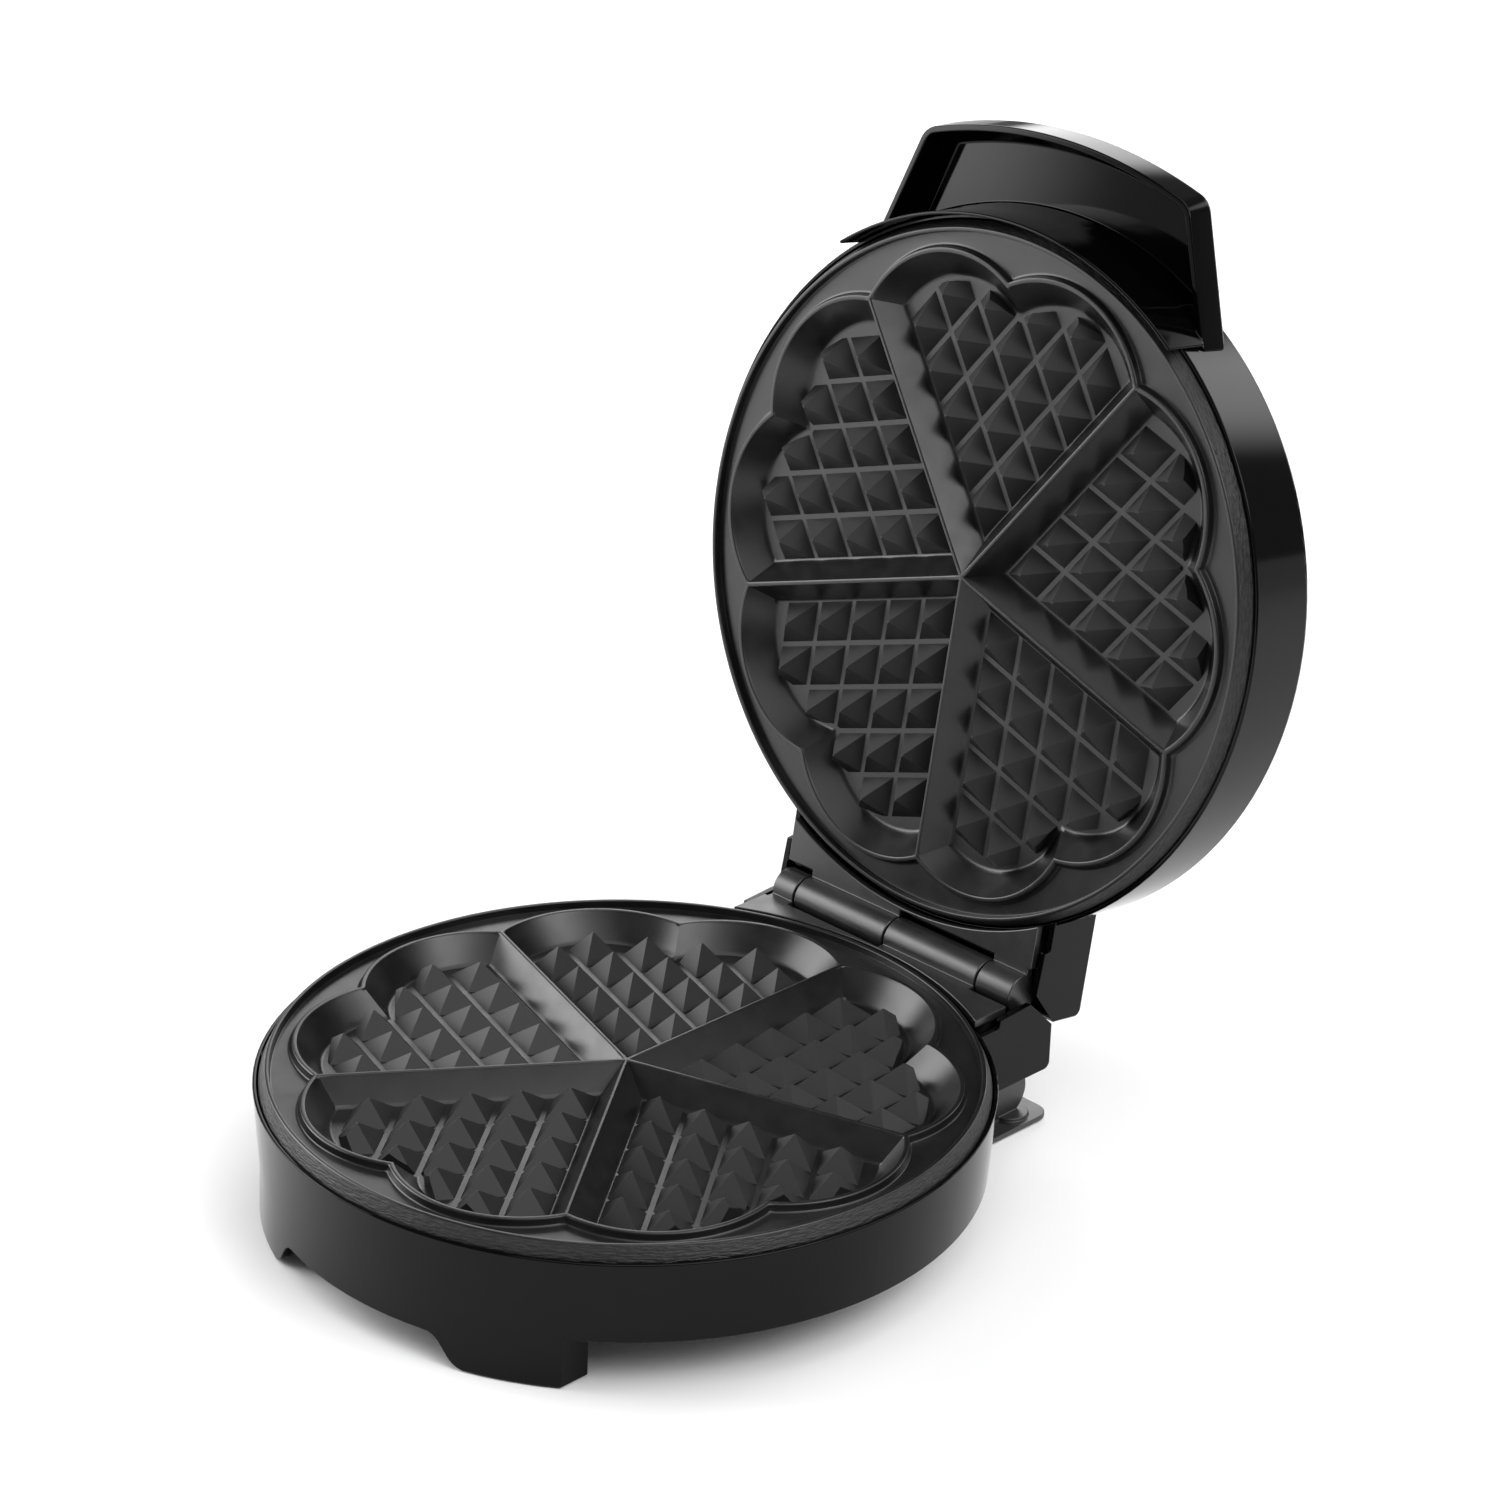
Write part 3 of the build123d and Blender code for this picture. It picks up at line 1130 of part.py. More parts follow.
def cord_inlet():
    """Bush in the rear face that the supply lead goes in through."""
    x, z = inlet_place()
    along_y = Rot(-90, 0, 0)
    flange = Cylinder(INLET_FLANGE_R, INLET_FLANGE_T, align=BOTTOM)
    flange = fillet(flange.edges().sort_by(Axis.Z)[-1], INLET_FLANGE_T * 0.6)
    sleeve = Pos(0, 0, INLET_FLANGE_T - INLET_LENGTH) * Cylinder(INLET_SLEEVE_R, INLET_LENGTH - 1, align=BOTTOM)
    bore = Cylinder(INLET_BORE_R, 3 * INLET_LENGTH)
    return Pos(x, BLOCK_REAR_Y, z) * along_y * (flange + sleeve - bore)


# Assembly

def lower_pieces():
    plate_shift = Pos(0, 0, -PLATE_GAP / 2)
    deck_shift = Pos(0, 0, -HINGE_DROP)
    pin_left = KNUCKLE_EDGES[0] + 0.5
    pin_right = KNUCKLE_EDGES[-1] - BLIND_END - 0.3
    return {
        "base_shell": base_shell(),
        "base_pan": base_pan(),
        "base_pan_screws": base_pan_screws(),
        "cord_wrap": cord_wrap(),
        "cord_wrap_screws": cord_wrap_screws(),
        "front_foot_pads": pads(pad_recesses(), FRONT_PAD_R),
        "rear_foot_pads": pads([(-REAR_PAD[0], REAR_PAD[1]), REAR_PAD], REAR_PAD_R),
        "lower_deck": deck_shift * deck_with_knuckles((0, 2)),
        "lower_deck_screws": [deck_shift * piece for piece in deck_screws()],
        "hinge_pin": rod_x(PIN_R, pin_left, pin_right, HINGE_Y, -HINGE_DROP),
        "lower_plate": plate_shift * cooking_plate(),
        "lower_plate_screws": [plate_shift * piece for piece in plate_screws()],
        "lower_element": plate_shift * heating_element(),
        "lower_element_clamps": [plate_shift * piece for piece in element_clamps()],
        "lower_terminals": [plate_shift * piece for piece in heater_terminals()],
        "lower_reflector": plate_shift * reflector(),
        "thermostat": plate_shift * thermostat(),
        "thermal_fuse": plate_shift * thermal_fuse(),
        "terminal_block": terminal_block(),
        "base_leads": base_leads(),
        "cord_inlet": cord_inlet(),
    }


def upper_pieces():
    """The lid's pieces with the lid closed."""
    plate_shift = Pos(0, 0, PLATE_GAP / 2)
    deck_shift = Pos(0, 0, -HINGE_DROP)
    return {
        "lid_shell": lid_shell(),
        "lid_cover": lid_cover(),
        "power_lens": indicator_lens(-LENS_X),
        "ready_lens": indicator_lens(LENS_X),
        "lamp_holder": plate_shift * lamp_holder(),
        "front_handle": front_handle(),
        "handle_screws": handle_screws(),
        "upper_deck": deck_shift * mirrored(deck_with_knuckles((1, 3))),
        "upper_deck_screws": [deck_shift * mirrored(piece) for piece in deck_screws()],
        "upper_plate": plate_shift * mirrored(cooking_plate()),
        "upper_plate_screws": [plate_shift * mirrored(piece) for piece in plate_screws()],
        "upper_element": plate_shift * mirrored(heating_element()),
        "upper_element_clamps": [plate_shift * mirrored(piece) for piece in element_clamps()],
        "upper_terminals": [plate_shift * mirrored(piece) for piece in heater_terminals()],
        "upper_reflector": plate_shift * mirrored(reflector()),
    }


def opened(piece):
    return piece.rotate(HINGE, -LID_OPEN)


def as_one(piece):
    """One shape from a piece or from a group of separate solids."""
    if isinstance(piece, (list, tuple)):
        return Compound(children=[solid for part in piece for solid in part.solids()])
    return piece


def main():
    os.makedirs("parts", exist_ok=True)
    lift = Pos(0, 0, RIM_HEIGHT)
    nodes = {name: as_one(piece) for name, piece in lower_pieces().items()}
    nodes |= {name: opened(as_one(piece)) for name, piece in upper_pieces().items()}
    for name, piece in nodes.items():
        export_step(lift * piece, f"parts/{name}.step")


main()
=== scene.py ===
"""Looks of the round heart waffle maker, standing open as in the photograph.

The cooking plates are made here from the rule of their casting: five hearts between five ribs, with
rows of blunt pyramids. The black mouldings are CAD shapes given the small edge radii of their mould.
Everything else keeps its CAD shape and gets the finish of its real material. Sizes are in millimetres
and become metres only where a mesh is made.
"""
import json
from math import atan2, cos, hypot, pi, radians, sin, sqrt

import bmesh
import bpy
from mathutils import Matrix, Vector


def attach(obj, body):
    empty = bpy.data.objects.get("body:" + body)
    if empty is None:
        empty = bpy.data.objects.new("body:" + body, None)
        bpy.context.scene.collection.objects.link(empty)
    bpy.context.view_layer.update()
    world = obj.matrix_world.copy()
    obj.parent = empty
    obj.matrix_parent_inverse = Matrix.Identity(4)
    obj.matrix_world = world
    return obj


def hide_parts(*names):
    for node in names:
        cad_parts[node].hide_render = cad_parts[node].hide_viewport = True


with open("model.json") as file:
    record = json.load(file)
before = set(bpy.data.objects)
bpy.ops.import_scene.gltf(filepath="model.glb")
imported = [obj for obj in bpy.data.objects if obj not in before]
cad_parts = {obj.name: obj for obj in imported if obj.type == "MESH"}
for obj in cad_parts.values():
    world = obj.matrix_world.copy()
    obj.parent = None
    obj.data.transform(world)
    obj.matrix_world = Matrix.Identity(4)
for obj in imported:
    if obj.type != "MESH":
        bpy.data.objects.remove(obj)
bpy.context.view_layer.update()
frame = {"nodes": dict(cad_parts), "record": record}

MM = 0.001

# Cooking plate, from its rim plane down
HEARTS = 5
HEART_TURN = 2 * pi / HEARTS
HALF_HEART = HEART_TURN / 2
FIRST_HEART = -pi / 2
LOBE_PLACE = 58.55        # from the plate's centre to the centre of a lobe
LOBE_R = 34.45
RIB_HALF = 0.65
POCKET_DEPTH = 7.9
LOBE_LEAN = 6.4           # the pocket wall leans in by this much at the lobes
RIB_LEAN = 5.2            # and by this much beside a rib
EASE_DEPTH = 0.35         # the pocket wall's round edge begins this far down
BEAD_CREST = 1.1          # middle of the rounded bead, outside the pocket's edge
BASE_LOBE_R = 30.65       # lobes of the plate's underside
UNDERSIDE = 10.5
FLANGE_UNDERSIDE = 4.8
SKIRT_R = 101.9
CELL = 13.85              # one pyramid to the next, along a rib
CELL_ROWS = 5
PYRAMID_HEIGHT = 6.5
PYRAMID_TIP = 0.5
VALLEY = 1.5
PYRAMID_SUNK = 0.6        # pyramids are drawn this far into the floor
PYRAMID_EDGE = 0.22
LOBE_GAP = 2.0            # pyramids stop this far inside the lobes
SMALLEST_PYRAMID = 0.0435 # cut pyramids with a smaller share of a whole one are left out
LOBE_STEPS = 40
SIDE_STEPS = 16

# Where the plates stand
RIM_HEIGHT = 43.5
PLATE_GAP = 0.4
HINGE_Y = 111.5
HINGE_Z = 43.0
LID_OPEN = 99.0
WALL_INNER_R = 101.7      # the walls' outsides lie between these two radii
WALL_OUTER_R = 104.5
BASE_DRAFT = -0.065       # the walls lean in by this much for each millimetre upwards
LID_DRAFT = 0.036
WALL_FACING = 0.97        # a wall's outside has at least this cosine to the way outwards

# Blind screw bores in the handle's roof, in the closed pose
HANDLE_SCREW_TURNS = (radians(256), radians(284))
HANDLE_SCREW_HEIGHT = 66.9
HANDLE_BORE_R = 1.6
HANDLE_BORE_END = 110.3

# Edges that turn by more than the crease stay sharp, and those that turn by more than the other angle
# are eased, all in degrees
PLATE_CREASE = 45
PYRAMID_EASED_FROM = 25
MOULDING_CREASE = 35
MOULDING_EASED_FROM = 28
MOULDING_FLAT_WITHIN = 0.5         # facets that turn by less than this are one face

# Points nearer to each other than this are one
CASTING_WELD = 1e-4
MOULDING_WELD = 1e-3

# Camera of the photograph: its place, the ways to its right and up, its lens and its sensor's width
CAMERA_PLACE = (765.85, -737.43, 620.34)
CAMERA_RIGHT = (0.70582, 0.70786, 0.02728)
CAMERA_UP = (-0.30998, 0.27400, 0.91041)
CAMERA_LENS = 104.15
CAMERA_SENSOR = 36
CAMERA_NEAR = 50


# Small helpers

def colour(hex_code):
    """Linear colour of an sRGB hex value."""
    parts = [int(hex_code[i:i + 2], 16) / 255 for i in (1, 3, 5)]
    return (*[c / 12.92 if c <= 0.04045 else ((c + 0.055) / 1.055) ** 2.4 for c in parts], 1.0)


def add_node(tree, kind, inputs=None, **settings):
    """One node of a tree, with its settings, and with values or other nodes' sockets on its inputs."""
    node = tree.nodes.new(kind)
    for name, value in settings.items():
        setattr(node, name, value)
    for name, value in (inputs or {}).items():
        for source in value if isinstance(value, list) else [value]:
            if isinstance(source, bpy.types.NodeSocket):
                tree.links.new(source, node.inputs[name])
            else:
                node.inputs[name].default_value = source
    return node


def mesh_object(name, mesh):
    """Object with this mesh, in the scene."""
    thing = bpy.data.objects.new(name, mesh)
    bpy.context.scene.collection.objects.link(thing)
    return thing


def plain_mesh(thing):
    """Gives the object its modifiers' result as its own mesh, and takes the modifiers off."""
    evaluated = thing.evaluated_get(bpy.context.evaluated_depsgraph_get())
    result = bpy.data.meshes.new_from_object(evaluated)
    thing.modifiers.clear()
    thing.data = result
    return thing


def smooth(piece, crease):
    """Smooth shading that keeps large faces flat, and edges sharp that turn by more than the crease."""
    piece.data.shade_smooth()
    piece.data.set_sharp_from_angle(angle=radians(crease))
    flats = piece.modifiers.new("flats_stay_flat", "WEIGHTED_NORMAL")
    flats.keep_sharp = True
    return plain_mesh(piece)


def opened_lid():
    """Turn about the hinge that opens the closed lid, in metres."""
    hinge = Matrix.Translation((0, HINGE_Y * MM, HINGE_Z * MM))
    return hinge @ Matrix.Rotation(radians(-LID_OPEN), 4, "X") @ hinge.inverted()


# Finishes

BROAD_SHARE = 0.07        # how fast the broad pattern changes, against the fine one
MOTTLE_SPAN = (0.15, 0.38)         # values of the pattern between which the colour changes
ROUGH_SPAN = (0.3, 0.7)            # and between which the roughness does


def finish(name, base, mottle, rough, rough_spread, grain, relief, stretch=(1, 1, 1),
           coordinates="Object", **shader_values):
    """Material with a fine grain: mottled colour, uneven roughness and a relief.

    base and mottle are the two colours, grain is the size of the relief's pattern and relief its
    height, both in millimetres, and stretch draws the pattern out along an axis.
    """
    material = bpy.data.materials.new(name)
    material.use_nodes = True
    tree = material.node_tree
    tree.nodes.clear()
    place = add_node(tree, "ShaderNodeTexCoord")
    scaled = add_node(
        tree, "ShaderNodeMapping",
        {"Vector": place.outputs[coordinates], "Scale": tuple(1 / (grain * MM * s) for s in stretch)},
    )
    fine = add_node(tree, "ShaderNodeTexNoise", {"Vector": scaled.outputs[0], "Scale": 1, "Detail": 3})
    broad = add_node(
        tree, "ShaderNodeTexNoise", {"Vector": scaled.outputs[0], "Scale": BROAD_SHARE, "Detail": 2}
    )
    both = add_node(
        tree, "ShaderNodeMath", {0: broad.outputs["Fac"], 1: fine.outputs["Fac"]}, operation="MULTIPLY"
    )
    tone = add_node(tree, "ShaderNodeValToRGB", {"Fac": both.outputs[0]})
    for stop, position, shade in zip(tone.color_ramp.elements, MOTTLE_SPAN, (base, mottle)):
        stop.position = position
        stop.color = colour(shade)
    roughness = add_node(
        tree, "ShaderNodeMapRange",
        {"Value": broad.outputs["Fac"], "From Min": ROUGH_SPAN[0], "From Max": ROUGH_SPAN[1],
         "To Min": rough, "To Max": rough + rough_spread},
    )
    bump = add_node(tree, "ShaderNodeBump", {"Height": fine.outputs["Fac"], "Distance": relief * MM})
    shader = add_node(
        tree, "ShaderNodeBsdfPrincipled",
        {"Base Color": tone.outputs["Color"], "Roughness": roughness.outputs["Result"],
         "Normal": bump.outputs["Normal"]},
    )
    for socket, value in shader_values.items():
        shader.inputs[socket.replace("_", " ")].default_value = value
    add_node(tree, "ShaderNodeOutputMaterial", {"Surface": shader.outputs[0]})
    return material


# Phenolic moulding from a polished mould: a deep black with mirror-like, very slightly wavy reflections
gloss_phenolic = finish(
    "gloss_phenolic_moulding", "#020202", "#040404", 0.05, 0.03, 9.0, 0.003, Specular_IOR_Level=0.15
)
# Glass-filled nylon from an eroded mould: satin dark grey, its sparkle broken by a fine grain
satin_nylon = finish(
    "eroded_nylon_moulding", "#1a1a1a", "#222222", 0.3, 0.07, 0.5, 0.02, Specular_IOR_Level=0.8
)
# Sprayed and baked PTFE coating on the casting: soft matte grey sheen over nearly black
nonstick_coating = finish(
    "sprayed_ptfe_coating", "#101010", "#171717", 0.28, 0.06, 0.45, 0.012, Specular_IOR_Level=0.48
)
# Uncoated edge of the aluminium casting, dressed with coarse abrasive: short dull streaks
dressed_casting = finish(
    "dressed_aluminium_casting", "#040404", "#262626", 0.42, 0.25, 0.6, 0.6, stretch=(5, 1, 1),
    coordinates="UV",
)
# Polypropylene pan with a spark-eroded underside: dark grey with a sheen that takes up the light of the floor
spark_pan = finish(
    "eroded_polypropylene_pan", "#303030", "#3a3a3a", 0.3, 0.1, 0.8, 0.02, Specular_IOR_Level=0.8
)
# Zinc plated steel of the pin and the screws: bluish silver, a little cloudy
zinc_steel = finish(
    "zinc_plated_steel", "#9ea0a4", "#b4b6b8", 0.28, 0.14, 0.6, 0.004, Metallic=1.0
)
# Stainless heater tube, blued and dulled by its own heat
heat_dulled_tube = finish(
    "heat_dulled_stainless_tube", "#4b4843", "#6a6660", 0.34, 0.2, 1.2, 0.006, Metallic=1.0
)
# Bright aluminium sheet with the fine lines of rolling
rolled_sheet = finish(
    "rolled_aluminium_sheet", "#b9babb", "#cdcecf", 0.22, 0.12, 0.4, 0.004, stretch=(12, 1, 1), Metallic=1.0
)
# Steatite and white thermoset: dense, warm white, eggshell sheen
steatite = finish("fired_steatite", "#d8d2c4", "#e4dfd2", 0.4, 0.1, 0.5, 0.01)
# Nitrile rubber feet and bush: dull black with a bloom
nitrile_rubber = finish("moulded_nitrile_rubber", "#111111", "#1b1b1a", 0.68, 0.12, 0.6, 0.02)
# Clear acrylic lenses dyed red and green
red_acrylic = finish(
    "red_acrylic", "#8c0a0a", "#9c1010", 0.1, 0.04, 4.0, 0.002, Transmission_Weight=0.6, IOR=1.49
)
green_acrylic = finish(
    "green_acrylic", "#0a7a22", "#0e8a2a", 0.1, 0.04, 4.0, 0.002, Transmission_Weight=0.6, IOR=1.49
)
# Pressed paper laminate of the lamp board, tan with a faint weave
paper_laminate = finish(
    "pressed_paper_laminate", "#7d6337", "#937746", 0.45, 0.1, 0.4, 0.01, stretch=(3, 1, 1)
)
# Silicone sleeving of the inner leads, brick red and faintly waxy
silicone_sleeve = finish("extruded_silicone_sleeve", "#8a2c1c", "#9a3624", 0.42, 0.08, 0.5, 0.006)

NODE_FINISH = {
    "housing": gloss_phenolic,
    "hinge_deck": satin_nylon,
    "pan": spark_pan,
    "plate": nonstick_coating,
    "steel": zinc_steel,
    "heater": heat_dulled_tube,
    "sheet": rolled_sheet,
    "ceramic": steatite,
    "rubber": nitrile_rubber,
    "red_lens": red_acrylic,
    "green_lens": green_acrylic,
    "board": paper_laminate,
    "lead": silicone_sleeve,
}


# Cooking plates

def meeting(lobe_r, offset=0.0):
    """How far along a rib a lobe's circle meets the line at an offset from the rib's middle."""
    across = LOBE_PLACE * sin(HALF_HEART / 2) - offset
    return LOBE_PLACE * cos(HALF_HEART / 2) + sqrt(lobe_r ** 2 - across ** 2)


def heart_ring(lean, offset, height):
    """Ring of points round one heart, its axis along +X: from its notch by the left lobe to its tip.

    lean moves the lobes in from the edge of the pocket, and offset is the distance of the straight
    sides from the middle of the ribs.
    """
    lobe_r = LOBE_R - lean
    lobe = Vector((cos(HALF_HEART / 2), sin(HALF_HEART / 2))) * LOBE_PLACE
    notch = Vector((meeting(lobe_r), 0.0))
    along = meeting(lobe_r, offset)
    rib_end = Vector((
        along * cos(HALF_HEART) + offset * sin(HALF_HEART),
        along * sin(HALF_HEART) - offset * cos(HALF_HEART),
    ))
    tip = Vector((offset / sin(HALF_HEART), 0.0))
    first = atan2(notch.y - lobe.y, notch.x - lobe.x)
    last = atan2(rib_end.y - lobe.y, rib_end.x - lobe.x)
    turns = [first + (last - first) * step / LOBE_STEPS for step in range(LOBE_STEPS)]
    half = [lobe + lobe_r * Vector((cos(turn), sin(turn))) for turn in turns]
    half += [rib_end.lerp(tip, step / SIDE_STEPS) for step in range(SIDE_STEPS)] + [tip]
    ring = half + [Vector((point.x, -point.y)) for point in half[-2:0:-1]]
    return [Vector((*point, height)) for point in ring]


def lobes_of(ring):
    """The part of a heart's ring along its two lobes, from the right rib to the left one."""
    return ring[-LOBE_STEPS:] + ring[:LOBE_STEPS + 1]


def round_of(strip, radius, height):
    """Points of a strip moved out to a circle about the plate's centre."""
    return [Vector((point.x, point.y, 0)).normalized() * radius + Vector((0, 0, height)) for point in strip]


# The round foot of the pocket wall: how far in from the wall's foot at the lobes and beside the ribs,
# and how high over the floor
WALL_FILLET = ((0.8, 0.7, 0.0), (0.3, 0.25, 0.07), (-0.15, -0.12, 0.32))
WALL_RINGS = (0.87, 0.5, 0.04)     # shares of the wall's depth at which it has a ring
# The round edge at the top of the wall: how far in from the wall's top, and its height
WALL_EDGE = ((0.04, -0.27), (-0.14, -0.07), (-0.38, 0.0))
# The bead's outside down to the flange: how far outside the wall's top, and its height
BEAD_PROFILE = ((1.34, -0.07), (1.52, -0.28), (1.62, -0.6), (1.9, -1.85), (2.2, -2.2), (2.8, -2.3))
# Radius and height of the plate outside its hearts: flange, upstanding rim, skirt and underside
EDGE_PROFILE = (
    (98.2, -2.3), (98.58, -2.2), (98.72, -1.95), (98.8, -0.34), (98.92, -0.1), (99.15, 0.0), (99.75, 0.0),
    (99.98, -0.08), (100.14, -0.32), (101.78, -3.85), (SKIRT_R, -4.25), (SKIRT_R, -6.05), (101.7, -6.3),
    (100.4, -6.3), (100.2, -6.1), (100.2, -FLANGE_UNDERSIDE),
)
SKIRT_RING = 9                     # from this place in the edge's profile the casting is bare
UNDER_BEAD = 0.6                   # the underside's wall starts this far outside the pocket's edge


def pocket_rings():
    """Rings from the pocket's floor up its leaning wall and over the eased edge to the ribs' middle."""
    foot = RIB_HALF + RIB_LEAN
    rings = [heart_ring(LOBE_LEAN + a, foot + b, -POCKET_DEPTH + rise) for a, b, rise in WALL_FILLET]
    for share in WALL_RINGS:
        height = -EASE_DEPTH - share * (POCKET_DEPTH - EASE_DEPTH)
        rings.append(heart_ring(share * LOBE_LEAN, RIB_HALF + share * RIB_LEAN, height))
    rings += [heart_ring(lean, RIB_HALF + lean, height) for lean, height in WALL_EDGE]
    rings.append(heart_ring(-BEAD_CREST, 0.0, 0.0))
    return rings


def edge_strips():
    """Strips from the bead's top down to the flange, over the rim and the skirt, and back underneath."""
    strips = [lobes_of(heart_ring(-out, 0.0, height)) for out, height in BEAD_PROFILE]
    bead_foot = strips[-1]
    for radius, height in EDGE_PROFILE:
        strips.append(round_of(bead_foot, radius, height))
    strips.append(lobes_of(heart_ring(-UNDER_BEAD, 0.0, -FLANGE_UNDERSIDE)))
    strips.append(lobes_of(heart_ring(LOBE_R - BASE_LOBE_R, 0.0, -UNDERSIDE)))
    return strips


def plate_casting():
    """The plate without its pyramids: one heart's share of it, five times round the centre."""
    bm = bmesh.new()
    around = bm.loops.layers.uv.new("around")
    rings = pocket_rings()
    strips = edge_strips()

    def band(earlier, later, closed, bare):
        """Faces between two neighbouring rows of points."""
        count = len(earlier)
        for i in range(count if closed else count - 1):
            j = (i + 1) % count
            face = bm.faces.new((later[i], later[j], earlier[j], earlier[i]))
            face.material_index = 1 if bare else 0

    for heart in range(HEARTS):
        turn = Matrix.Rotation(FIRST_HEART + heart * HEART_TURN, 3, "Z")
        rows = [[bm.verts.new(turn @ point) for point in ring] for ring in rings]
        bm.faces.new(rows[0])
        for earlier, later in zip(rows, rows[1:]):
            band(earlier, later, True, False)
        edge = [lobes_of(rows[-1])] + [[bm.verts.new(turn @ point) for point in strip] for strip in strips]
        bare_from = len(strips) - 2 - len(EDGE_PROFILE) + SKIRT_RING
        for place, (earlier, later) in enumerate(zip(edge, edge[1:])):
            band(earlier, later, False, place >= bare_from)
        centre = bm.verts.new((0, 0, -UNDERSIDE))
        for one, other in zip(edge[-1], edge[-1][1:]):
            bm.faces.new((one, centre, other)).material_index = 1
    bmesh.ops.remove_doubles(bm, verts=bm.verts, dist=CASTING_WELD)
    for face in bm.faces:
        middle = face.calc_center_median()
        whole = atan2(middle.y, middle.x)
        for loop in face.loops:
            point = loop.vert.co
            turn = atan2(point.y, point.x)
            turn += 2 * pi * round((whole - turn) / (2 * pi))
            loop[around].uv = (turn * SKIRT_R * MM, point.z * MM)
    mesh = bpy.data.meshes.new("plate_casting")
    bm.to_mesh(mesh)
    bm.free()
    return mesh


def pyramid_tree():
    """Node tree that fills a heart's prism with rows of blunt pyramids, and sets it round the centre."""
    tree = bpy.data.node_groups.new("heart_pyramids", "GeometryNodeTree")
    face = tree.interface
    face.new_socket("Geometry", in_out="OUTPUT", socket_type="NodeSocketGeometry")
    face.new_socket("Heart", in_out="INPUT", socket_type="NodeSocketGeometry")
    for name in ("Cell", "Foot", "Tip", "Height", "Sunk", "First", "Depth", "Rib Angle", "First Heart"):
        face.new_socket(name, in_out="INPUT", socket_type="NodeSocketFloat")
    for name in ("Rows", "Hearts"):
        face.new_socket(name, in_out="INPUT", socket_type="NodeSocketInt")
    face.new_socket("Finish", in_out="INPUT", socket_type="NodeSocketMaterial")
    given = add_node(tree, "NodeGroupInput").outputs

    def reckon(operation, *values):
        return add_node(tree, "ShaderNodeMath", dict(enumerate(values)), operation=operation).outputs[0]

    along = reckon("COSINE", given["Rib Angle"])
    across = reckon("SINE", given["Rib Angle"])
    span = reckon("MULTIPLY", given["Cell"], reckon("SUBTRACT", given["Rows"], 1.0))
    grid = add_node(
        tree, "GeometryNodeMeshGrid",
        {"Size X": span, "Size Y": span, "Vertices X": given["Rows"], "Vertices Y": given["Rows"]},
    )
    diamond = add_node(
        tree, "GeometryNodeTransform", {"Geometry": grid.outputs["Mesh"], "Rotation": (0, 0, -pi / 4)}
    )
    stretch = add_node(
        tree, "ShaderNodeCombineXYZ",
        {"X": reckon("MULTIPLY", along, sqrt(2)), "Y": reckon("MULTIPLY", across, sqrt(2)), "Z": 1.0},
    )
    middle = reckon("MULTIPLY_ADD", reckon("ADD", span, given["Cell"]), along, given["First"])
    low = reckon("MULTIPLY", reckon("ADD", given["Depth"], given["Sunk"]), -1.0)
    lattice = add_node(
        tree, "GeometryNodeTransform",
        {"Geometry": diamond.outputs[0], "Scale": stretch.outputs[0],
         "Translation": add_node(tree, "ShaderNodeCombineXYZ", {"X": middle, "Z": low}).outputs[0]},
    )
    cone = add_node(
        tree, "GeometryNodeMeshCone",
        {"Vertices": 4, "Radius Top": given["Tip"], "Radius Bottom": given["Foot"],
         "Depth": reckon("ADD", given["Height"], given["Sunk"])},
    )
    pyramid = add_node(
        tree, "GeometryNodeTransform",
        {"Geometry": cone.outputs["Mesh"],
         "Scale": add_node(tree, "ShaderNodeCombineXYZ", {"X": along, "Y": across, "Z": 1.0}).outputs[0]},
    )
    rows = add_node(
        tree, "GeometryNodeInstanceOnPoints", {"Points": lattice.outputs[0], "Instance": pyramid.outputs[0]}
    )
    field = add_node(tree, "GeometryNodeRealizeInstances", {"Geometry": rows.outputs[0]})
    cut = add_node(
        tree, "GeometryNodeMeshBoolean", {"Mesh 2": [field.outputs[0], given["Heart"]]},
        operation="INTERSECT", solver="EXACT",
    )
    hearts = add_node(tree, "GeometryNodePoints", {"Count": given["Hearts"]})
    index = add_node(tree, "GeometryNodeInputIndex").outputs[0]
    share = reckon("DIVIDE", 2 * pi, given["Hearts"])
    turn = reckon("MULTIPLY_ADD", index, share, given["First Heart"])
    ring = add_node(
        tree, "GeometryNodeInstanceOnPoints",
        {"Points": hearts.outputs[0], "Instance": cut.outputs["Mesh"],
         "Rotation": add_node(tree, "ShaderNodeCombineXYZ", {"Z": turn}).outputs[0]},
    )
    whole = add_node(tree, "GeometryNodeRealizeInstances", {"Geometry": ring.outputs[0]})
    coated = add_node(
        tree, "GeometryNodeSetMaterial", {"Geometry": whole.outputs[0], "Material": given["Finish"]}
    )
    add_node(tree, "NodeGroupOutput", {"Geometry": coated.outputs[0]})
    return tree


def heart_prism(low, high):
    """Solid in the shape of a pocket's floor, that the pyramids are cut to."""
    bm = bmesh.new()
    rows = [
        [bm.verts.new(p) for p in heart_ring(LOBE_LEAN + LOBE_GAP, RIB_HALF + RIB_LEAN, height)]
        for height in (low, high)
    ]
    bm.faces.new(reversed(rows[0]))
    bm.faces.new(rows[1])
    for i in range(len(rows[0])):
        j = (i + 1) % len(rows[0])
        bm.faces.new((rows[0][i], rows[0][j], rows[1][j], rows[1][i]))
    mesh = bpy.data.meshes.new("heart_prism")
    bm.to_mesh(mesh)
    bm.free()
    return mesh


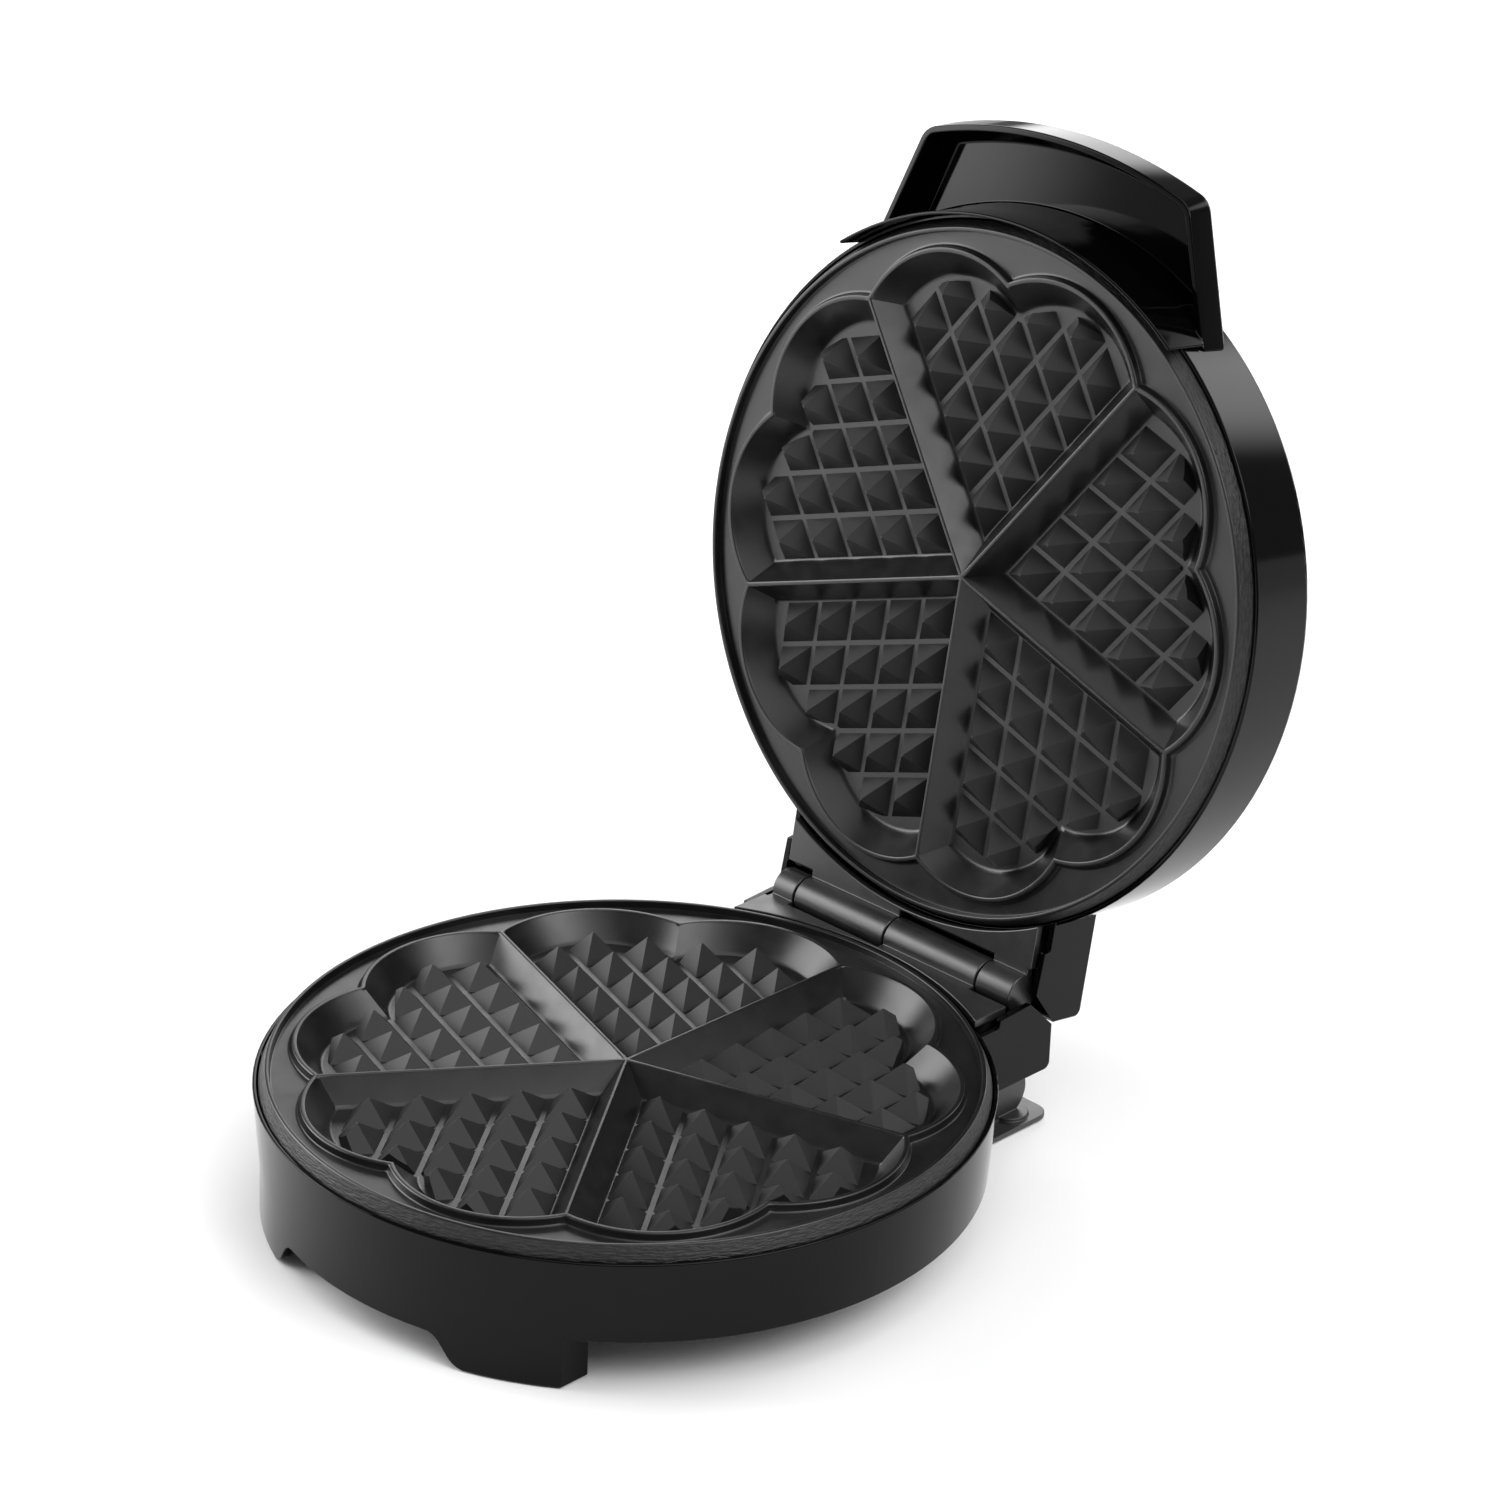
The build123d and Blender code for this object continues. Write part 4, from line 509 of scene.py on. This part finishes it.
def drop_slivers(mesh, least):
    """Leaves out the pyramids that the edge of the pocket cuts to less than the least volume."""
    bm = bmesh.new()
    bm.from_mesh(mesh)
    waiting = set(bm.faces)
    slivers = []
    while waiting:
        found = [waiting.pop()]
        for face in found:
            near = {other for edge in face.edges for other in edge.link_faces} & waiting
            waiting -= near
            found += near
        inside = found[0].verts[0].co
        volume = 0.0
        for face in found:
            volume += face.calc_area() * face.normal.dot(face.calc_center_median() - inside) / 3
        if volume < least:
            slivers += found
    bmesh.ops.delete(bm, geom=slivers, context="FACES")
    bm.to_mesh(mesh)
    bm.free()


def plate_pyramids():
    """All the pyramids of one plate, with blunt edges."""
    per_width = 1 / sin(HEART_TURN)    # way along a rib for each millimetre across the rows
    floor_foot = CELL - VALLEY * per_width
    tip = PYRAMID_TIP * per_width
    foot = floor_foot + (floor_foot - tip) / PYRAMID_HEIGHT * PYRAMID_SUNK
    whole = sin(HEART_TURN) * foot ** 2 * (PYRAMID_HEIGHT + PYRAMID_SUNK) / 3
    sizes = {
        "Cell": CELL, "Foot": foot, "Tip": tip, "Height": PYRAMID_HEIGHT, "Sunk": PYRAMID_SUNK,
        "First": (RIB_HALF + RIB_LEAN) / sin(HALF_HEART),
        "Depth": POCKET_DEPTH, "Rib Angle": HALF_HEART, "First Heart": FIRST_HEART,
        "Rows": CELL_ROWS, "Hearts": HEARTS, "Finish": nonstick_coating,
    }
    field = mesh_object("plate_pyramids", heart_prism(-POCKET_DEPTH - PYRAMID_SUNK, 0.0))
    rows = field.modifiers.new("pyramids", "NODES")
    rows.node_group = pyramid_tree()
    for item in rows.node_group.interface.items_tree:
        if item.item_type == "SOCKET" and item.in_out == "INPUT" and item.name in sizes:
            rows[item.identifier] = sizes[item.name]
    drop_slivers(plain_mesh(field).data, SMALLEST_PYRAMID * whole)
    blunt = field.modifiers.new("blunt_edges", "BEVEL")
    blunt.width = PYRAMID_EDGE
    blunt.segments = 2
    blunt.limit_method = "ANGLE"
    blunt.angle_limit = radians(PYRAMID_EASED_FROM)
    mesh = plain_mesh(field).data
    bpy.data.objects.remove(field)
    return mesh


def cooking_plate(name, upper, casting, pyramids):
    """One plate where it stands: the upper one is turned over and opened with the lid."""
    bm = bmesh.new()
    bm.from_mesh(casting)
    bm.from_mesh(pyramids)
    shift = PLATE_GAP / 2
    if upper:
        bmesh.ops.scale(bm, vec=(1, 1, -1), verts=bm.verts)
        bmesh.ops.reverse_faces(bm, faces=bm.faces)
        bm.transform(Matrix.Scale(MM, 4) @ Matrix.Translation((0, 0, RIM_HEIGHT + shift)))
        bm.transform(opened_lid())
    else:
        bm.transform(Matrix.Scale(MM, 4) @ Matrix.Translation((0, 0, RIM_HEIGHT - shift)))
    mesh = bpy.data.meshes.new(name)
    bm.to_mesh(mesh)
    bm.free()
    mesh.materials.append(nonstick_coating)
    mesh.materials.append(dressed_casting)
    return smooth(mesh_object(name, mesh), PLATE_CREASE)


casting = plate_casting()
pyramids = plate_pyramids()
lower_plate = cooking_plate("lower_cooking_plate", False, casting, pyramids)
upper_plate = cooking_plate("upper_cooking_plate", True, casting, pyramids)
for piece, body, node in ((lower_plate, "base", "lower_plate"), (upper_plate, "lid", "upper_plate")):
    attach(piece, body)
    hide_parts(node)


# Mouldings with eased edges

def close_blind_bores(bm):
    """Closes the handle's two blind screw bores, whose outer ends come through the top of its roof."""
    closed = opened_lid().inverted()
    inside = []
    for vert in bm.verts:
        place = closed @ vert.co / MM
        for turn in HANDLE_SCREW_TURNS:
            along = place.x * cos(turn) + place.y * sin(turn)
            aside = hypot(place.y * cos(turn) - place.x * sin(turn), place.z - HANDLE_SCREW_HEIGHT)
            if aside < HANDLE_BORE_R and WALL_INNER_R < along < HANDLE_BORE_END:
                inside.append(vert)
    bmesh.ops.delete(bm, geom=inside, context="VERTS")
    rims = [edge for edge in bm.edges if edge.is_boundary]
    bmesh.ops.holes_fill(bm, edges=rims, sides=0)


def eased_moulding(name, node, edge, material):
    """Copy of a CAD node with the small radius that its mould leaves along every edge."""
    bm = bmesh.new()
    bm.from_mesh(frame["nodes"][node].data)
    bmesh.ops.remove_doubles(bm, verts=bm.verts, dist=MOULDING_WELD * MM)
    if node == "front_handle":
        close_blind_bores(bm)
    bmesh.ops.dissolve_limit(
        bm, angle_limit=radians(MOULDING_FLAT_WITHIN), verts=bm.verts, edges=bm.edges
    )
    mesh = bpy.data.meshes.new(name)
    bm.to_mesh(mesh)
    bm.free()
    mesh.materials.clear()
    mesh.materials.append(material)
    piece = mesh_object(name, mesh)
    radius = piece.modifiers.new("mould_radius", "BEVEL")
    radius.width = edge * MM
    radius.segments = 3
    radius.limit_method = "ANGLE"
    radius.angle_limit = radians(MOULDING_EASED_FROM)
    radius.use_clamp_overlap = False
    return smooth(plain_mesh(piece), MOULDING_CREASE)


def true_round(mesh, closed, draft):
    """Sets the exact normals of the round wall's cone on its outside, so that reflections run smoothly.

    closed brings a point back to the closed pose, and draft is how far the wall leans in for each
    millimetre upwards.
    """
    normals = [corner.vector.copy() for corner in mesh.corner_normals]
    back = closed.to_3x3().inverted()
    for face in mesh.polygons:
        middle = closed @ face.center
        facing = closed.to_3x3() @ face.normal
        outwards = Vector((middle.x, middle.y, 0)).normalized()
        on_wall = WALL_INNER_R * MM < hypot(middle.x, middle.y) < WALL_OUTER_R * MM
        if not on_wall or outwards.dot(facing) < WALL_FACING:
            continue
        for corner in face.loop_indices:
            point = closed @ mesh.vertices[mesh.loops[corner].vertex_index].co
            cone = Vector((point.x, point.y, draft * hypot(point.x, point.y)))
            normals[corner] = (back @ cone).normalized()
    mesh.normals_split_custom_set(normals)


# Name, CAD node, body and finish of each moulding, and the width of its eased edges
MOULDINGS = (
    ("base_housing", "base_shell", "base", "housing", 0.25),
    ("lid_housing", "lid_shell", "lid", "housing", 0.2),
    ("scoop_handle", "front_handle", "lid", "housing", 0.5),
    ("lid_dome", "lid_cover", "lid", "housing", 0.3),
    ("cord_wrap_foot", "cord_wrap", "base", "hinge_deck", 0.3),
    ("underside_pan", "base_pan", "base", "pan", 0.3),
    ("lower_hinge_deck", "lower_deck", "base", "hinge_deck", 0.35),
    ("upper_hinge_deck", "upper_deck", "lid", "hinge_deck", 0.35),
)
WALLS = {
    "base_housing": (Matrix.Identity(4), BASE_DRAFT),
    "lid_housing": (opened_lid().inverted(), LID_DRAFT),
}
for name, node, body, slot, edge in MOULDINGS:
    piece = eased_moulding(name, node, edge, NODE_FINISH[slot])
    if name in WALLS:
        true_round(piece.data, *WALLS[name])
    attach(piece, body)
    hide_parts(node)

# Every CAD node in its finish, those behind the pieces above too
for part in frame["record"]["subparts"]:
    thing = frame["nodes"][part["node"]]
    if not thing.material_slots:
        thing.data.materials.append(None)
    for material_slot in thing.material_slots:
        material_slot.material = NODE_FINISH[part["material_slot"]]


# Studio

# Name, place and aim in metres, width and height in metres, how many times brighter than white, and
# the share of its width and height over which it fades
SOFTBOXES = (
    ("left_softbox", (-1.255, -0.646, 0.66), (0, 0.1, 0.2), 1.22, 1.3, 6.5, 0.11),
    ("right_softbox", (1.0, 0.05, 1.0), (0, 0, 0.05), 1.1, 0.8, 4.4, 0.35),
    ("back_softbox", (-0.8, 0.98, 0.6), (0, 0, 0.05), 1.0, 0.55, 3.8, 0.25),
    ("rear_strip", (0.27, 1.43, 0.7), (0, 0.13, 0.15), 0.7, 0.75, 4.4, 0.5),
)
FLOOR_HALF = 30.0         # in metres
AIR_LEVEL = 0.2           # light from all round, where 1 is white
OVERHEAD_LEVEL = 2.0
OVERHEAD_FROM = (0.37, 0.2, 0.91)
OVERHEAD_WIDTH = 80       # in degrees


def softbox(name, place, aim, width, height, brightness, fade):
    """Area lamp with an even cloth that fades towards its frame."""
    area = bpy.data.lights.new(name, "AREA")
    area.shape = "RECTANGLE"
    area.size = width
    area.size_y = height
    area.energy = brightness * pi * width * height
    area.use_nodes = True
    tree = area.node_tree
    tree.nodes.clear()
    across = add_node(
        tree, "ShaderNodeSeparateXYZ", {0: add_node(tree, "ShaderNodeNewGeometry").outputs["Parametric"]}
    )
    level = 1.0
    for axis in ("X", "Y"):
        rest = add_node(tree, "ShaderNodeMath", {0: 1.0, 1: across.outputs[axis]}, operation="SUBTRACT")
        hump = add_node(
            tree, "ShaderNodeMath", {0: across.outputs[axis], 1: rest.outputs[0]}, operation="MULTIPLY"
        )
        edge = add_node(
            tree, "ShaderNodeMapRange", {"Value": hump.outputs[0], "From Max": fade * (1 - fade)},
            interpolation_type="SMOOTHSTEP",
        )
        level = add_node(
            tree, "ShaderNodeMath", {0: edge.outputs["Result"], 1: level}, operation="MULTIPLY"
        ).outputs[0]
    cloth = add_node(tree, "ShaderNodeEmission", {"Strength": level})
    add_node(tree, "ShaderNodeOutputLight", {"Surface": cloth.outputs[0]})
    lamp = bpy.data.objects.new(name, area)
    lamp.location = place
    lamp.rotation_euler = (place - aim).to_track_quat("Z", "Y").to_euler()
    bpy.context.scene.collection.objects.link(lamp)


def studio():
    """Pale floor, soft light from all round and above, and the photograph's camera."""
    bm = bmesh.new()
    bmesh.ops.create_grid(bm, x_segments=2, y_segments=2, size=FLOOR_HALF)
    mesh = bpy.data.meshes.new("studio_floor")
    bm.to_mesh(mesh)
    bm.free()
    mesh.materials.append(finish("matt_white_floor", "#fafafa", "#fdfdfd", 0.8, 0.1, 40.0, 0.01))
    floor = mesh_object("studio_floor", mesh)

    world = bpy.data.worlds.new("studio_air")
    bpy.context.scene.world = world
    world.use_nodes = True
    tree = world.node_tree
    tree.nodes.clear()
    air = add_node(tree, "ShaderNodeBackground", {"Color": colour("#ffffff"), "Strength": AIR_LEVEL})
    add_node(tree, "ShaderNodeOutputWorld", {"Surface": air.outputs[0]})

    sun = bpy.data.lights.new("overhead_softbox", "SUN")
    sun.energy = OVERHEAD_LEVEL
    sun.angle = radians(OVERHEAD_WIDTH)
    lamp = bpy.data.objects.new("overhead_softbox", sun)
    lamp.rotation_euler = Vector(OVERHEAD_FROM).to_track_quat("Z", "Y").to_euler()
    bpy.context.scene.collection.objects.link(lamp)
    for name, place, aim, *size_and_level in SOFTBOXES:
        softbox(name, Vector(place), Vector(aim), *size_and_level)

    lens = bpy.data.cameras.new("camera")
    lens.lens = CAMERA_LENS
    lens.sensor_width = CAMERA_SENSOR
    lens.sensor_fit = "HORIZONTAL"
    lens.clip_start = CAMERA_NEAR * MM
    camera = bpy.data.objects.new("camera", lens)
    right, up = Vector(CAMERA_RIGHT), Vector(CAMERA_UP)
    turn = Matrix((right, up, right.cross(up))).transposed()
    camera.matrix_world = Matrix.Translation(Vector(CAMERA_PLACE) * MM) @ turn.to_4x4()
    bpy.context.scene.collection.objects.link(camera)
    bpy.context.scene.camera = camera
    bpy.context.scene.view_settings.view_transform = "Standard"


studio()
